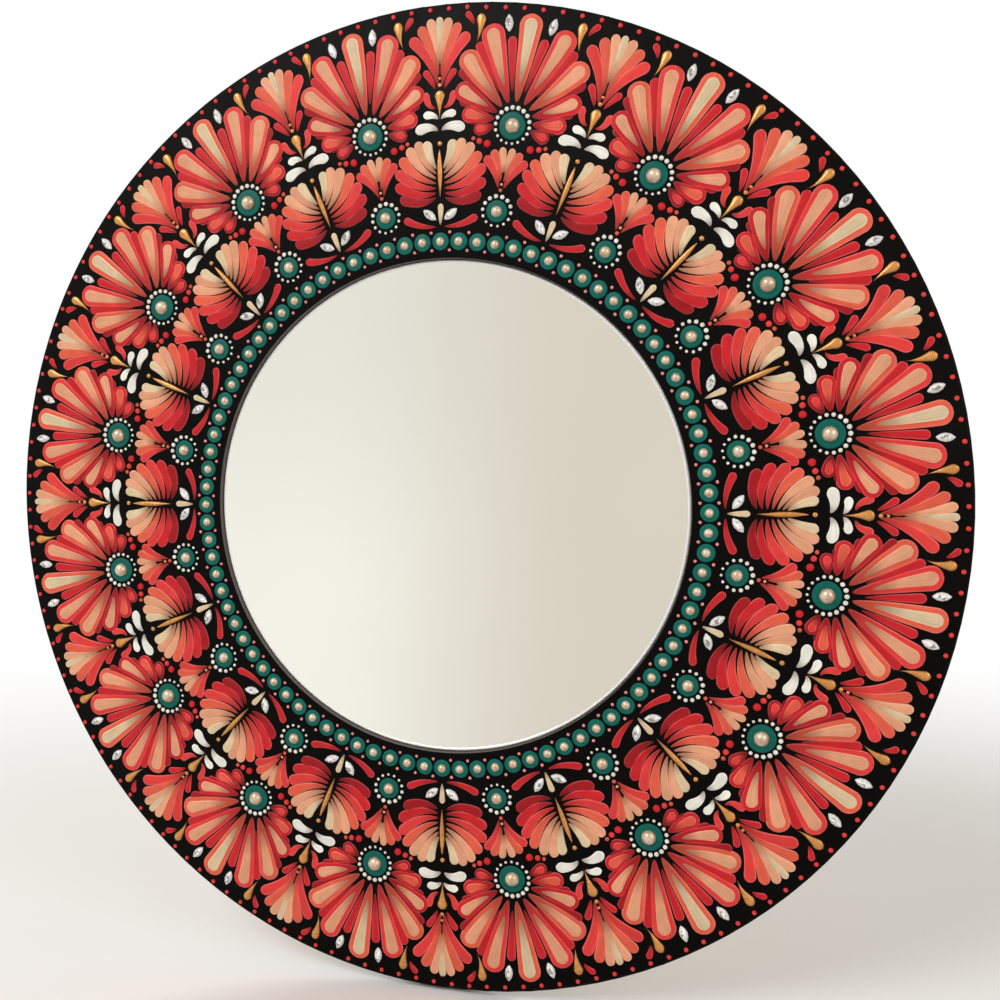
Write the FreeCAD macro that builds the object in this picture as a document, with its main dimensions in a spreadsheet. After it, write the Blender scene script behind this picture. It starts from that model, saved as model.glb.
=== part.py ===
import FreeCAD, Part
import math
import os

import Sketcher
from FreeCAD import Placement, Rotation, Vector

# Round wall mirror set in a painted board and hung from two D-rings, in millimetres.
# +X is right and +Z up, seen from the front; the front faces -Y, and the wall is the plane y = 0.

SIZES = {
    # Painted ring of board and the disc behind it
    "board_diameter": 600,
    "board_thickness": 9,
    "board_edge_round": 2,
    "opening_edge_round": 0.8,
    "backer_overlap": 59.5,
    "backer_thickness": 12,
    "backer_edge_round": 1.5,
    # Mirror glass on its foam pads
    "mirror_diameter": 300,
    "mirror_thickness": 4,
    "mirror_arris": 0.8,
    "mirror_side_gap": 0.5,
    "pad_thickness": 2,
    "pad_length": 40,
    "pad_width": 20,
    "pad_inset": 40,
    "pad_count": 6,
    # Countersunk screws that hold the disc to the ring
    "backer_screw_inset": 24,
    "backer_screw_count": 8,
    "backer_screw_shank": 3.5,
    "backer_screw_head": 7,
    "backer_screw_sink": 0.3,
    "backer_screw_length": 18,
    "backer_screw_point": 3,
    "screw_gap": 0.1,
    "pilot_spare": 0.6,
    # Two-hole strap hangers with their D-rings
    "hanger_spread": 350,
    "hanger_clear": 13.5,
    "strap_width": 14,
    "strap_length": 42,
    "strap_plate": 1.6,
    "strap_wall": 0.8,
    "ring_wire": 2.4,
    "ring_pin_gap": 0.1,
    "ring_side_gap": 2.8,
    "ring_corner": 2.6,
    "ring_arm": 5,
    "ring_rest_gap": 0.35,
    "hanger_screw_first": 22,
    "hanger_screw_pitch": 12,
    "hanger_screw_shank": 3,
    "hanger_screw_head": 6,
    "hanger_screw_head_height": 1.8,
    "hanger_screw_length": 8,
    "hanger_screw_point": 2,
    # Half pearls glued on the face, their rings stepped out from the opening's edge
    "border_pearl": 5.6,
    "border_band": 10,
    "border_pearl_count": 88,
    "tulip_pearl": 7,
    "tulip_step": 19.1,
    "lotus_pearl": 9,
    "lotus_step": 49.9,
    "sector_count": 16,
    "pearl_facet_count": 10,
    "pearl_tier_count": 3,
    "pearl_tier_angle": 34,
    # Pointed oval crystals glued on the face, in leaning pairs
    "crystal_length": 10,
    "crystal_width": 5,
    "crystal_height": 2.4,
    "crystal_girdle": 0.6,
    "crystal_table_share": 0.52,
    "inner_crystal_step": 15.9,
    "inner_crystal_spread": 13.2,
    "inner_crystal_lean": 52,
    "outer_crystal_inset": 13,
    "outer_crystal_spread": 26.8,
    "outer_crystal_lean": 12,
}

os.makedirs("parts", exist_ok=True)
doc = FreeCAD.newDocument("MandalaMirror")
sheet = doc.addObject("Spreadsheet::Sheet", "Sizes")
for row, (alias, value) in enumerate(SIZES.items(), start=1):
    sheet.set(f"A{row}", alias)
    sheet.set(f"B{row}", str(value))
    sheet.setAlias(f"B{row}", alias)
doc.recompute()


def formula(words):
    """Expression text in which every driving dimension is read from the sheet."""
    return " ".join("Sizes." + word if word in SIZES else word for word in words.split())


def number(words):
    """Value of a formula."""
    result = sheet.evalExpression(formula(words))
    return float(getattr(result, "Value", result))


def bind(target, path, words):
    target.setExpression(path, formula(words))


# Formulas that several pieces share
BOARD_BACK = "- backer_thickness"
BOARD_FRONT = "( - backer_thickness - board_thickness )"
OPENING = "( mirror_diameter + 2 * mirror_side_gap )"
BACKER = "( mirror_diameter + 2 * mirror_side_gap + 2 * backer_overlap )"
SCREW_CIRCLE_RADIUS = f"( {BACKER} / 2 - backer_screw_inset )"
BACKER_HOLE = "( backer_screw_shank + 4 * screw_gap )"
SINK_TOP = "( backer_screw_head + 2 * backer_screw_sink + 2 * screw_gap )"
BORE_RADIUS = "( ring_wire / 2 + ring_pin_gap )"
BARREL_RADIUS = "( ring_wire / 2 + ring_pin_gap + strap_wall )"
RING_HALF = "( strap_width / 2 + ring_side_gap + ring_wire / 2 )"
RING_REACH = "( strap_width / 2 + ring_side_gap + ring_wire / 2 + ring_arm )"
TIP_REACH = f"( {BACKER} / 2 + hanger_clear + strap_width / 2 )"
TIP_HEIGHT = f"sqrt( {TIP_REACH} ^ 2 - ( hanger_spread / 2 ) ^ 2 )"
HANGER_HEIGHT = f"( {TIP_HEIGHT} + strap_length - strap_width / 2 )"
BORDER = f"( {OPENING} / 2 + border_band )"
SIDES = {"left": "- hanger_spread / 2", "right": "hanger_spread / 2"}


def new_body(label, x=None, y=None, z=None):
    """Empty body whose origin is placed by formulas."""
    body = doc.addObject("PartDesign::Body", label)
    body.AllowCompound = True
    place(body, x, y, z)
    return body


def place(piece, x=None, y=None, z=None):
    for axis, words in zip("xyz", (x, y, z)):
        if words:
            bind(piece, "Placement.Base." + axis, words)


def origin_feature(body, role):
    return next(feature for feature in body.Origin.OriginFeatures if feature.Role == role)


def new_sketch(body, role, name):
    sketch = body.newObject("Sketcher::SketchObject", name)
    sketch.AttachmentSupport = [(origin_feature(body, role), "")]
    sketch.MapMode = "FlatFace"
    return sketch


def point_code(name):
    """Number by which a sketch knows the start, end or centre of a curve."""
    return ("edge", "start", "end", "centre").index(name)


def dimension(sketch, words, *reference):
    """Dimension of sketch geometry that follows a formula."""
    index = sketch.addConstraint(Sketcher.Constraint(*reference, number(words)))
    bind(sketch, f"Constraints[{index}]", words)


def fix_point(sketch, curve, name, across, up):
    """Holds a point of a curve at two formulas, or on an axis of the sketch where one is 0."""
    across_axis, up_axis = -1, -2
    origin = (across_axis, point_code("start"))
    point = (curve, point_code(name))
    for kind, axis, words in (("DistanceX", up_axis, across), ("DistanceY", across_axis, up)):
        if words == "0":
            sketch.addConstraint(Sketcher.Constraint("PointOnObject", *point, axis))
        else:
            dimension(sketch, words, kind, *origin, *point)


def add_circle(sketch, diameter, across="0", up="0"):
    centre = Vector(number(across), number(up), 0)
    circle = Part.Circle(centre, Vector(0, 0, 1), number(diameter) / 2)
    curve = sketch.addGeometry(circle, False)
    dimension(sketch, diameter, "Diameter", curve)
    fix_point(sketch, curve, "centre", across, up)


def add_polygon(sketch, corners):
    """Closed outline through corners, each a pair of formulas."""
    points = [Vector(number(across), number(up), 0) for across, up in corners]
    lines = [sketch.addGeometry(Part.LineSegment(start, end), False)
             for start, end in zip(points, points[1:] + points[:1])]
    for line, following in zip(lines, lines[1:] + lines[:1]):
        sketch.addConstraint(Sketcher.Constraint(
            "Coincident", line, point_code("end"), following, point_code("start")))
    for line, (across, up) in zip(lines, corners):
        fix_point(sketch, line, "start", across, up)


def add_pad(body, sketch, length, middle=False, reverse=False):
    pad = body.newObject("PartDesign::Pad", "Pad")
    pad.Profile = sketch
    pad.Midplane = middle
    pad.Reversed = reverse
    bind(pad, "Length", length)
    doc.recompute()
    return pad


def took_material(body, before):
    if body.Shape.Volume >= before:
        raise RuntimeError(f"{body.Label}: a cut took nothing away")


def add_pocket(body, sketch, depth, middle=False, reverse=False):
    before = body.Shape.Volume
    pocket = body.newObject("PartDesign::Pocket", "Pocket")
    pocket.Profile = sketch
    pocket.Midplane = middle
    pocket.Reversed = reverse
    bind(pocket, "Length", depth)
    doc.recompute()
    took_material(body, before)
    return pocket


def add_turning(body, sketch, axis):
    turning = body.newObject("PartDesign::Revolution", "Revolution")
    turning.Profile = sketch
    turning.ReferenceAxis = (sketch, [axis])
    turning.Angle = 360
    doc.recompute()
    return turning


def repeat_round(body, feature, count):
    """Copies of a feature all round the mirror's axis."""
    pattern = body.newObject("PartDesign::PolarPattern", "PolarPattern")
    pattern.Originals = [feature]
    pattern.Axis = (origin_feature(body, "Y_Axis"), [""])
    pattern.Angle = 360
    bind(pattern, "Occurrences", count)
    body.Tip = pattern
    doc.recompute()


def ease_circles(body, kind, amount, wanted):
    """Fillet or chamfer of the circular edges that wanted(diameter, depth) picks."""
    base = body.Tip
    names = [f"Edge{index}" for index, edge in enumerate(base.Shape.Edges, start=1)
             if isinstance(edge.Curve, Part.Circle)
             and wanted(2 * edge.Curve.Radius, edge.Curve.Center.y)]
    dress = body.newObject("PartDesign::" + kind, kind)
    dress.Base = (base, names)
    bind(dress, "Radius" if kind == "Fillet" else "Size", amount)
    doc.recompute()


def make_face_ring():
    """Ring of board, painted in front, with eased edges and blind screw holes in its back."""
    body = new_body("face_ring", y=BOARD_BACK)
    outline = new_sketch(body, "XZ_Plane", "RingOutline")
    add_circle(outline, "board_diameter")
    add_circle(outline, OPENING)
    add_pad(body, outline, "board_thickness")
    front = number("- board_thickness")
    for diameter, amount in (("board_diameter", "board_edge_round"), (OPENING, "opening_edge_round")):
        edge = number(diameter)
        ease_circles(body, "Fillet", amount, lambda found, depth: (
            math.isclose(found, edge) and math.isclose(depth, front)))
    backer_hole = new_sketch(body, "XZ_Plane", "BackerScrewHole")
    add_circle(backer_hole, "backer_screw_shank + 2 * screw_gap", SCREW_CIRCLE_RADIUS)
    depth = "backer_screw_length - backer_thickness + pilot_spare"
    repeat_round(body, add_pocket(body, backer_hole, depth, reverse=True), "backer_screw_count")
    hanger_holes = new_sketch(body, "XZ_Plane", "HangerScrewHoles")
    for across in SIDES.values():
        for lower in ("", " - hanger_screw_pitch"):
            up = HANGER_HEIGHT + " - hanger_screw_first" + lower
            add_circle(hanger_holes, "hanger_screw_shank + 2 * screw_gap", across, up)
    add_pocket(body, hanger_holes, "hanger_screw_length - strap_plate + pilot_spare", reverse=True)
    return body


def make_backer_disc():
    """Disc that closes the opening from behind and lies on the wall, with countersunk holes."""
    body = new_body("backer_disc")
    outline = new_sketch(body, "XZ_Plane", "DiscOutline")
    add_circle(outline, BACKER)
    add_pad(body, outline, "backer_thickness")
    ease_circles(body, "Fillet", "backer_edge_round", lambda found, depth: math.isclose(depth, 0))
    before = body.Shape.Volume
    hole_place = new_sketch(body, "XZ_Plane", "CountersunkHole")
    add_circle(hole_place, BACKER_HOLE, SCREW_CIRCLE_RADIUS)
    hole = body.newObject("PartDesign::Hole", "Hole")
    hole.Profile = hole_place
    hole.Reversed = True
    hole.ThreadType = "None"
    hole.DepthType = "ThroughAll"
    hole.HoleCutType = "Countersink"
    hole.HoleCutCustomValues = True
    hole.HoleCutCountersinkAngle = 90
    bind(hole, "Diameter", BACKER_HOLE)
    bind(hole, "HoleCutDiameter", SINK_TOP)
    doc.recompute()
    took_material(body, before)
    repeat_round(body, hole, "backer_screw_count")
    return body


def make_mirror_glass():
    """Round mirror glass with a fine ground arris on both edges."""
    body = new_body("mirror_glass", y=BOARD_BACK + " - pad_thickness")
    outline = new_sketch(body, "XZ_Plane", "GlassOutline")
    add_circle(outline, "mirror_diameter")
    add_pad(body, outline, "mirror_thickness")
    ease_circles(body, "Chamfer", "mirror_arris", lambda found, depth: True)
    return body


def make_mirror_pads():
    """Double-sided foam pads between the disc and the glass."""
    body = new_body("mirror_pads", y=BOARD_BACK)
    outline = new_sketch(body, "XZ_Plane", "PadOutline")
    near = "mirror_diameter / 2 - pad_inset - pad_width / 2"
    far = "mirror_diameter / 2 - pad_inset + pad_width / 2"
    low = "- pad_length / 2"
    high = "pad_length / 2"
    add_polygon(outline, [(near, low), (far, low), (far, high), (near, high)])
    repeat_round(body, add_pad(body, outline, "pad_thickness"), "pad_count")
    return body


def make_backer_screws():
    """Countersunk screws, with their heads just below the back of the disc."""
    body = new_body("backer_screws")
    profile = new_sketch(body, "XY_Plane", "ScrewProfile")
    centre = SCREW_CIRCLE_RADIUS
    head_edge = centre + " + backer_screw_head / 2"
    shank_edge = centre + " + backer_screw_shank / 2"
    top = "- backer_screw_sink"
    add_polygon(profile, [
        (centre, top),
        (head_edge, top),
        (shank_edge, "- backer_screw_sink - backer_screw_head / 2 + backer_screw_shank / 2"),
        (shank_edge, "- backer_screw_length + backer_screw_point"),
        (centre, "- backer_screw_length"),
    ])
    axis = sketch_axis(profile, centre, "- backer_screw_length")
    repeat_round(body, add_turning(body, profile, axis), "backer_screw_count")
    return body


def sketch_axis(sketch, across, depth):
    """Construction line along the sketch's up direction, to turn a profile about."""
    start = Vector(number(across), 0, 0)
    end = Vector(number(across), number(depth), 0)
    line = sketch.addGeometry(Part.LineSegment(start, end), True)
    fix_point(sketch, line, "start", across, "0")
    fix_point(sketch, line, "end", across, depth)
    return "Axis0"


def make_hanger_strap(side):
    """Strip folded round the ring's bar: a tongue with two screw holes and a rolled barrel."""
    body = new_body(side + "_hanger_strap", SIDES[side], BOARD_BACK, HANGER_HEIGHT)
    tongue = new_sketch(body, "XZ_Plane", "Tongue")
    half = "strap_width / 2"
    low = "- strap_length + strap_width / 2"
    corners = [("- " + half, "0"), (half, "0"), (half, low), ("- " + half, low)]
    add_polygon(tongue, corners)
    add_pad(body, tongue, "strap_plate", reverse=True)
    tip = new_sketch(body, "XZ_Plane", "TongueTip")
    add_circle(tip, "strap_width", up=low)
    add_pad(body, tip, "strap_plate", reverse=True)
    barrel = new_sketch(body, "YZ_Plane", "Barrel")
    add_circle(barrel, "2 * " + BARREL_RADIUS, across=BARREL_RADIUS)
    add_pad(body, barrel, "strap_width", middle=True)
    bore = new_sketch(body, "YZ_Plane", "Bore")
    add_circle(bore, "2 * " + BORE_RADIUS, across=BARREL_RADIUS)
    add_pocket(body, bore, "2 * strap_width", middle=True)
    holes = new_sketch(body, "XZ_Plane", "ScrewHoles")
    for lower in ("", " - hanger_screw_pitch"):
        add_circle(holes, "hanger_screw_shank + 4 * screw_gap", up="- hanger_screw_first" + lower)
    add_pocket(body, holes, "2 * strap_plate", middle=True)
    return body


def make_hanger_screws(side):
    """Round-headed screws through the tongue of one strap."""
    height = HANGER_HEIGHT + " - hanger_screw_first"
    body = new_body(side + "_hanger_screws", SIDES[side], BOARD_BACK + " + strap_plate", height)
    profile = new_sketch(body, "XY_Plane", "ScrewProfile")
    add_polygon(profile, [
        ("0", "hanger_screw_head_height"),
        ("hanger_screw_head / 4", "hanger_screw_head_height"),
        ("hanger_screw_head / 2", "hanger_screw_head_height / 2"),
        ("hanger_screw_head / 2", "0"),
        ("hanger_screw_shank / 2", "0"),
        ("hanger_screw_shank / 2", "- hanger_screw_length + hanger_screw_point"),
        ("0", "- hanger_screw_length"),
    ])
    turning = add_turning(body, profile, "V_Axis")
    pair = body.newObject("PartDesign::LinearPattern", "LinearPattern")
    pair.Originals = [turning]
    pair.Direction = (origin_feature(body, "Z_Axis"), [""])
    pair.Reversed = True
    pair.Occurrences = 2
    bind(pair, "Length", "hanger_screw_pitch")
    body.Tip = pair
    doc.recompute()
    return body


def make_hanger_ring(side):
    """D-ring of round wire on the strap's barrel, hanging down and resting off the tongue."""
    def wire_bar(name, length, place_words, direction):
        bar = doc.addObject("Part::Cylinder", side + name)
        bind(bar, "Radius", "ring_wire / 2")
        bind(bar, "Height", length)
        bar.Placement.Rotation = Rotation(Vector(0, 0, 1), direction)
        place(bar, *place_words)
        return bar

    def wire_bend(name, radius, sweep, place_words, turn):
        bend = doc.addObject("Part::Torus", side + name)
        bind(bend, "Radius1", radius)
        bind(bend, "Radius2", "ring_wire / 2")
        bend.Angle3 = sweep
        bend.Placement.Rotation = turn
        place(bend, *place_words)
        return bend

    inset = RING_HALF + " - ring_corner"
    flat = Rotation(Vector(1, 0, 0), 90)
    arm = "ring_arm - ring_corner"
    ring = doc.addObject("Part::MultiFuse", side + "_hanger_ring")
    ring.Shapes = [
        wire_bar("Bar", f"2 * ( {inset} )", (f"- ( {inset} )", None, None), Vector(1, 0, 0)),
        wire_bar("LeftArm", arm, ("- " + RING_HALF, None, "- ring_arm"), Vector(0, 0, 1)),
        wire_bar("RightArm", arm, (RING_HALF, None, "- ring_arm"), Vector(0, 0, 1)),
        wire_bend("RightCorner", "ring_corner", 90, (inset, None, "- ring_corner"), flat),
        wire_bend("LeftCorner", "ring_corner", 90, (f"- ( {inset} )", None, "- ring_corner"),
                  flat * Rotation(Vector(0, 0, 1), 90)),
        wire_bend("Bow", RING_HALF, 180, (None, None, "- ring_arm"), flat.inverted()),
    ]
    lift = f"( strap_plate + ring_rest_gap + ring_wire / 2 - {BARREL_RADIUS} )"
    ring.Placement.Rotation = Rotation(Vector(1, 0, 0), 1)
    bind(ring, "Placement.Rotation.Angle", f"asin( {lift} / ( {RING_REACH} - ring_wire / 2 ) )")
    place(ring, SIDES[side], f"{BOARD_BACK} + {BARREL_RADIUS}", HANGER_HEIGHT)
    doc.recompute()
    return ring


def on_face(angle, radius, offset=0):
    """Placement on the painted face: out from the centre at an angle, then a step sideways."""
    turn = Rotation(Vector(0, 1, 0), angle)
    step = Vector(offset, number(BOARD_FRONT), radius)
    return Placement(turn.multVec(step), turn)


def add_group(label, solids):
    group = doc.addObject("Part::Feature", label)
    group.Shape = Part.makeCompound(solids)
    return group


def placed(solid, placement):
    copy = solid.copy()
    copy.Placement = placement
    return copy


def half_pearl(radius):
    """Dome of faceted tiers, flat side on the face."""
    facets = int(number("pearl_facet_count"))
    turns = [2 * math.pi * corner / facets for corner in range(facets + 1)]
    rings = []
    for tier in range(int(number("pearl_tier_count"))):
        rise = math.radians(tier * number("pearl_tier_angle"))
        level = radius * math.sin(rise)
        reach = radius * math.cos(rise)
        corners = [Vector(reach * math.sin(turn), -level, reach * math.cos(turn)) for turn in turns]
        rings.append(Part.makePolygon(corners))
    return Part.makeLoft(rings, True, True)


def make_pearls(label, rings):
    """Rings of half pearls, each given by its pearl, radius, count and first step as formulas."""
    pearls = []
    for diameter, radius, count, first in rings:
        pearl = half_pearl(number(diameter) / 2)
        total = int(number(count))
        for index in range(total):
            angle = 360 / total * (index + number(first))
            pearls.append(placed(pearl, on_face(angle, number(radius))))
    return add_group(label, pearls)


def crystal_outline(scale, depth):
    """Pointed oval of straight facets: two tips and three corners on each side."""
    half_length = scale * number("crystal_length") / 2
    half_width = scale * number("crystal_width") / 2
    radius = (half_length ** 2 + half_width ** 2) / (2 * half_width)
    right = [(math.sqrt(radius ** 2 - z ** 2) - radius + half_width, z)
             for z in (half_length, half_length / 2, 0, -half_length / 2)]
    corners = right + [(-x, -z) for x, z in right]
    points = [Vector(x, -depth, z) for x, z in corners]
    return Part.makePolygon(points + points[:1])


def make_crystals(label, radius, spread, lean, first):
    """Leaning pairs of flat-backed faceted crystals, one pair in each sector."""
    height = number("crystal_height")
    levels = [(1, 0), (1, number("crystal_girdle")), (number("crystal_table_share"), height)]
    crystal = Part.makeLoft([crystal_outline(scale, depth) for scale, depth in levels], True, True)
    sectors = int(number("sector_count"))
    crystals = []
    for index in range(sectors):
        angle = 360 / sectors * (index + number(first))
        for hand in (-1, 1):
            tilt = Placement(Vector(), Rotation(Vector(0, 1, 0), hand * number(lean)))
            spot = on_face(angle, number(radius), hand * number(spread) / 2)
            crystals.append(placed(crystal, spot * tilt))
    return add_group(label, crystals)


ON_AXIS = "0"
HALF_STEP = "1 / 2"

pieces = [
    make_face_ring(),
    make_backer_disc(),
    make_mirror_glass(),
    make_mirror_pads(),
    make_backer_screws(),
]
for side_name in SIDES:
    pieces += [make_hanger_strap(side_name), make_hanger_ring(side_name), make_hanger_screws(side_name)]
pieces += [
    make_pearls("border_pearls", [("border_pearl", BORDER, "border_pearl_count", ON_AXIS)]),
    make_pearls("motif_pearls", [
        ("tulip_pearl", BORDER + " + tulip_step", "sector_count", HALF_STEP),
        ("lotus_pearl", BORDER + " + tulip_step + lotus_step", "sector_count", HALF_STEP),
    ]),
    make_crystals("inner_crystals", BORDER + " + inner_crystal_step", "inner_crystal_spread",
                  "inner_crystal_lean", ON_AXIS),
    make_crystals("outer_crystals", "board_diameter / 2 - outer_crystal_inset", "outer_crystal_spread",
                  "outer_crystal_lean", HALF_STEP),
]
doc.recompute()

for item in doc.Objects:
    if {"Invalid", "Error"} & set(item.State):
        raise RuntimeError(f"{item.Label} failed: {item.State}")
for piece in pieces:
    if piece.Shape.isNull() or not piece.Shape.isValid():
        raise RuntimeError(f"{piece.Label} has no valid shape")
for piece in pieces:
    piece.Shape.exportStep(f"parts/{piece.Label}.step")
    print(f"{piece.Label}: {len(piece.Shape.Solids)} solids, {piece.Shape.Volume:.1f} mm3")
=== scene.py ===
import math
import random
from functools import cache

import bmesh
import bpy
from bpy.props import FloatProperty, FloatVectorProperty, IntProperty, PointerProperty
from mathutils import Matrix, Vector


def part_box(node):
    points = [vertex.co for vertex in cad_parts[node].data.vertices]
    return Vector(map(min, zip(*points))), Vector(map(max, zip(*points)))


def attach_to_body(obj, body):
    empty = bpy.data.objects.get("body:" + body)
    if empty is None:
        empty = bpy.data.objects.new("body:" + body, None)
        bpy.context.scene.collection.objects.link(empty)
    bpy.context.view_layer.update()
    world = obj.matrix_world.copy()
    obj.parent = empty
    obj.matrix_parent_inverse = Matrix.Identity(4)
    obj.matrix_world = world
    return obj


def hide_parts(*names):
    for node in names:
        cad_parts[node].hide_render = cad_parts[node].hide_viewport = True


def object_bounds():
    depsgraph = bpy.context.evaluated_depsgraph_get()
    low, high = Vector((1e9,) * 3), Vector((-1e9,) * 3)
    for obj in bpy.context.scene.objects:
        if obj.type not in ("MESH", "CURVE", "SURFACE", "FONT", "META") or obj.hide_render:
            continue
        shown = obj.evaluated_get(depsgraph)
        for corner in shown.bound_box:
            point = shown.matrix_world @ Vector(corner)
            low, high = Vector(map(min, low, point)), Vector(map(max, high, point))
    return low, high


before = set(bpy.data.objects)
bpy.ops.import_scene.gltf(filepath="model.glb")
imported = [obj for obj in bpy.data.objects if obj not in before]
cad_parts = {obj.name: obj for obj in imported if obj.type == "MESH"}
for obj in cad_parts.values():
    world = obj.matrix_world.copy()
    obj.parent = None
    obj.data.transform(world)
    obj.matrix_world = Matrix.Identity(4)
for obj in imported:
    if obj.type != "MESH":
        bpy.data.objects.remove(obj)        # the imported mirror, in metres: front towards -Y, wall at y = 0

bl_info = {
    "name": "Mandala Mirror",
    "version": (1, 0, 0),
    "blender": (4, 5, 0),
    "location": "View3D > Sidebar > Mandala Mirror",
    "description": "Raised paint, pearls, crystals, fixings and finishes of a round wall mirror",
    "category": "Add Mesh",
}

MM = 0.001
CAD_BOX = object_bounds()
FACE_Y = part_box("face_ring")[0].y
BOARD_BACK_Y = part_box("face_ring")[1].y
BOARD_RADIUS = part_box("face_ring")[1].x
GLASS_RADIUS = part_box("mirror_glass")[1].x
GLASS_BACK_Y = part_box("mirror_glass")[1].y
# Gap round the glass, and the ground band along the glass's edge
SIDE_GAP = 0.5 * MM
GLASS_EDGE = 1.8 * MM
OPENING_RADIUS = GLASS_RADIUS + SIDE_GAP
# How far the black paint laps over the back of the board, and how much that line strays
PAINT_LAP = 6 * MM
LAP_STRAY = 3 * MM
# The floor stays just clear of the board's edge
FLOOR_Z = CAD_BOX[0].z - 2 * MM
SECTORS = 16
HALF_SECTOR = 180 / SECTORS
# First step of a ring whose copies stand on both sides of the upright line, and not on it
HALF_STEP = 0.5
# Points of a CAD mesh that are closer than this are joined
WELD_DISTANCE = 0.001 * MM
# Degrees beyond which an edge of a rounded piece stays sharp
SHARP_ANGLE = 30


def srgb(red, green, blue):
    """Linear colour of 8-bit display values."""
    def linear(value):
        share = value / 255
        return share / 12.92 if share <= 0.04045 else ((share + 0.055) / 1.055) ** 2.4

    return tuple(linear(value) for value in (red, green, blue))


def opaque(rgb, shade=1.0):
    return (*(shade * part for part in rgb), 1.0)


def display(*values):
    """Opaque colour of 8-bit display values."""
    return opaque(srgb(*values))


def colour(name, description, *values):
    return FloatVectorProperty(name=name, description=description, subtype="COLOR", size=3,
                               min=0, max=1, default=srgb(*values))


def size(name, description, millimetres):
    return FloatProperty(name=name, description=description, unit="LENGTH", subtype="DISTANCE",
                         min=0, default=millimetres * MM)


def count(name, description, copies):
    return IntProperty(name=name, description=description, min=1, default=copies)


def position(name, description, metres):
    return FloatVectorProperty(name=name, description=description, subtype="TRANSLATION", default=metres)


def power(name, description, watts):
    return FloatProperty(name=name, description=description, unit="POWER", default=watts)


class MIRROR_PG_paints(bpy.types.PropertyGroup):
    """Colours of the raised paint, the ground and the stones."""

    deep_crimson: colour("Deep crimson", "Darkest petals, in the shade of the fans", 108, 14, 20)
    crimson: colour("Crimson", "Second darkest petals", 163, 19, 28)
    red: colour("Red", "Main petal colour", 202, 33, 40)
    coral_red: colour("Coral red", "Warm petal colour", 224, 61, 58)
    coral: colour("Coral", "Light petal colour", 227, 95, 71)
    peach: colour("Peach", "Pale petal colour", 228, 162, 126)
    cream: colour("Cream", "Palest petals", 222, 198, 161)
    white: colour("White", "White strokes and dots", 240, 238, 228)
    pink: colour("Pink", "Small dots along the border", 235, 150, 150)
    teal: colour("Teal", "Discs under the pearls", 0, 102, 92)
    gold: colour("Gold", "Metallic drops and dots", 214, 149, 80)
    ground: colour("Ground", "Satin paint of the whole board", 6, 5, 5)
    pearl: colour("Pearl", "Half pearls", 228, 211, 188)


class MIRROR_PG_relief(bpy.types.PropertyGroup):
    """How the paint stands up from the board."""

    stroke_rise: size("Stroke rise", "Thickness of a full brush stroke", 0.45)
    disc_rise: size("Disc rise", "Thickness of a teal disc", 0.35)
    layer_step: size("Layer step", "How much higher a stroke lies for each layer below it", 0.07)
    sink: size("Sink", "Depth of each underside in the ground paint", 0.02)
    wobble: size("Wobble", "How far the hand strays from the drawing", 0.35)
    wobble_size: size("Wobble size", "Distance over which the hand strays", 28)


class MIRROR_PG_stones(bpy.types.PropertyGroup):
    """Places and sizes of pearls and crystals on the face."""

    border_radius: size("Border radius", "Circle of the pearl border", 160.5)
    border_count: count("Border count", "Pearls in the border", 88)
    border_pearl: size("Border pearl", "Diameter of a border pearl", 5.6)
    border_disc: size("Border disc", "Diameter of the disc under a border pearl", 10.6)
    tulip_radius: size("Tulip radius", "Circle of the tulips' pearls", 179.6)
    tulip_pearl: size("Tulip pearl", "Diameter of a tulip's pearl", 7)
    fan_radius: size("Fan radius", "Circle of the fans' pearls", 229.5)
    fan_pearl: size("Fan pearl", "Diameter of a fan's pearl", 9)
    crystal_length: size("Crystal length", "Point to point", 10)
    crystal_width: size("Crystal width", "Across the middle", 5)
    crystal_height: size("Crystal height", "Flat back to table", 2.4)
    inner_radius: size("Inner crystals", "Circle of the inner pairs", 176.4)
    inner_offset: size("Inner offset", "Step sideways of an inner crystal", 6.6)
    outer_radius: size("Outer crystals", "Circle of the outer pairs", 287)
    outer_offset: size("Outer offset", "Step sideways of an outer crystal", 13.4)


class MIRROR_PG_screws(bpy.types.PropertyGroup):
    """Sizes of the two kinds of screw at the back."""

    backer_head: size("Backer screw head", "Diameter of a countersunk head", 7)
    backer_shank: size("Backer screw shank", "Diameter over the thread", 3.5)
    backer_point: size("Backer screw point", "Length of the point", 3)
    hanger_head: size("Hanger screw head", "Diameter of a round head", 6)
    hanger_head_height: size("Hanger screw head height", "Seat to crown of a round head", 1.8)
    hanger_shank: size("Hanger screw shank", "Diameter over the thread", 3)
    hanger_point: size("Hanger screw point", "Length of the point", 2)
    recess: size("Recess depth", "Depth of the cross in a head", 1.3)
    pitch: size("Thread pitch", "Rise of the thread in one turn", 1.6)
    thread: size("Thread depth", "How far the thread stands out", 0.45)


class MIRROR_PG_stage(bpy.types.PropertyGroup):
    """Camera and light."""

    lens: FloatProperty(name="Lens", description="Focal length on a 36 mm sensor", unit="CAMERA",
                        default=37.9)
    camera: position("Camera", "Its place from the middle of the face", (0.2052, -0.6064, 0.0399))
    target: position("Target", "Point of the face that the camera looks at", (0.0371, 0, 0.0057))
    key_power: power("Key light", "Power of the large lamp, and of the one behind", 35)
    fill_power: power("Fill light", "Power of the soft side lamp", 12)
    ambient: FloatProperty(name="Ambient", description="Strength of the even light from all round",
                           default=0.44)


# Small helpers for node trees

def feed(tree, node, inputs):
    """Sets a node's inputs to values, or links them to sockets."""
    for key, value in inputs.items():
        if isinstance(value, bpy.types.NodeSocket):
            tree.links.new(value, node.inputs[key])
        else:
            node.inputs[key].default_value = value


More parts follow.
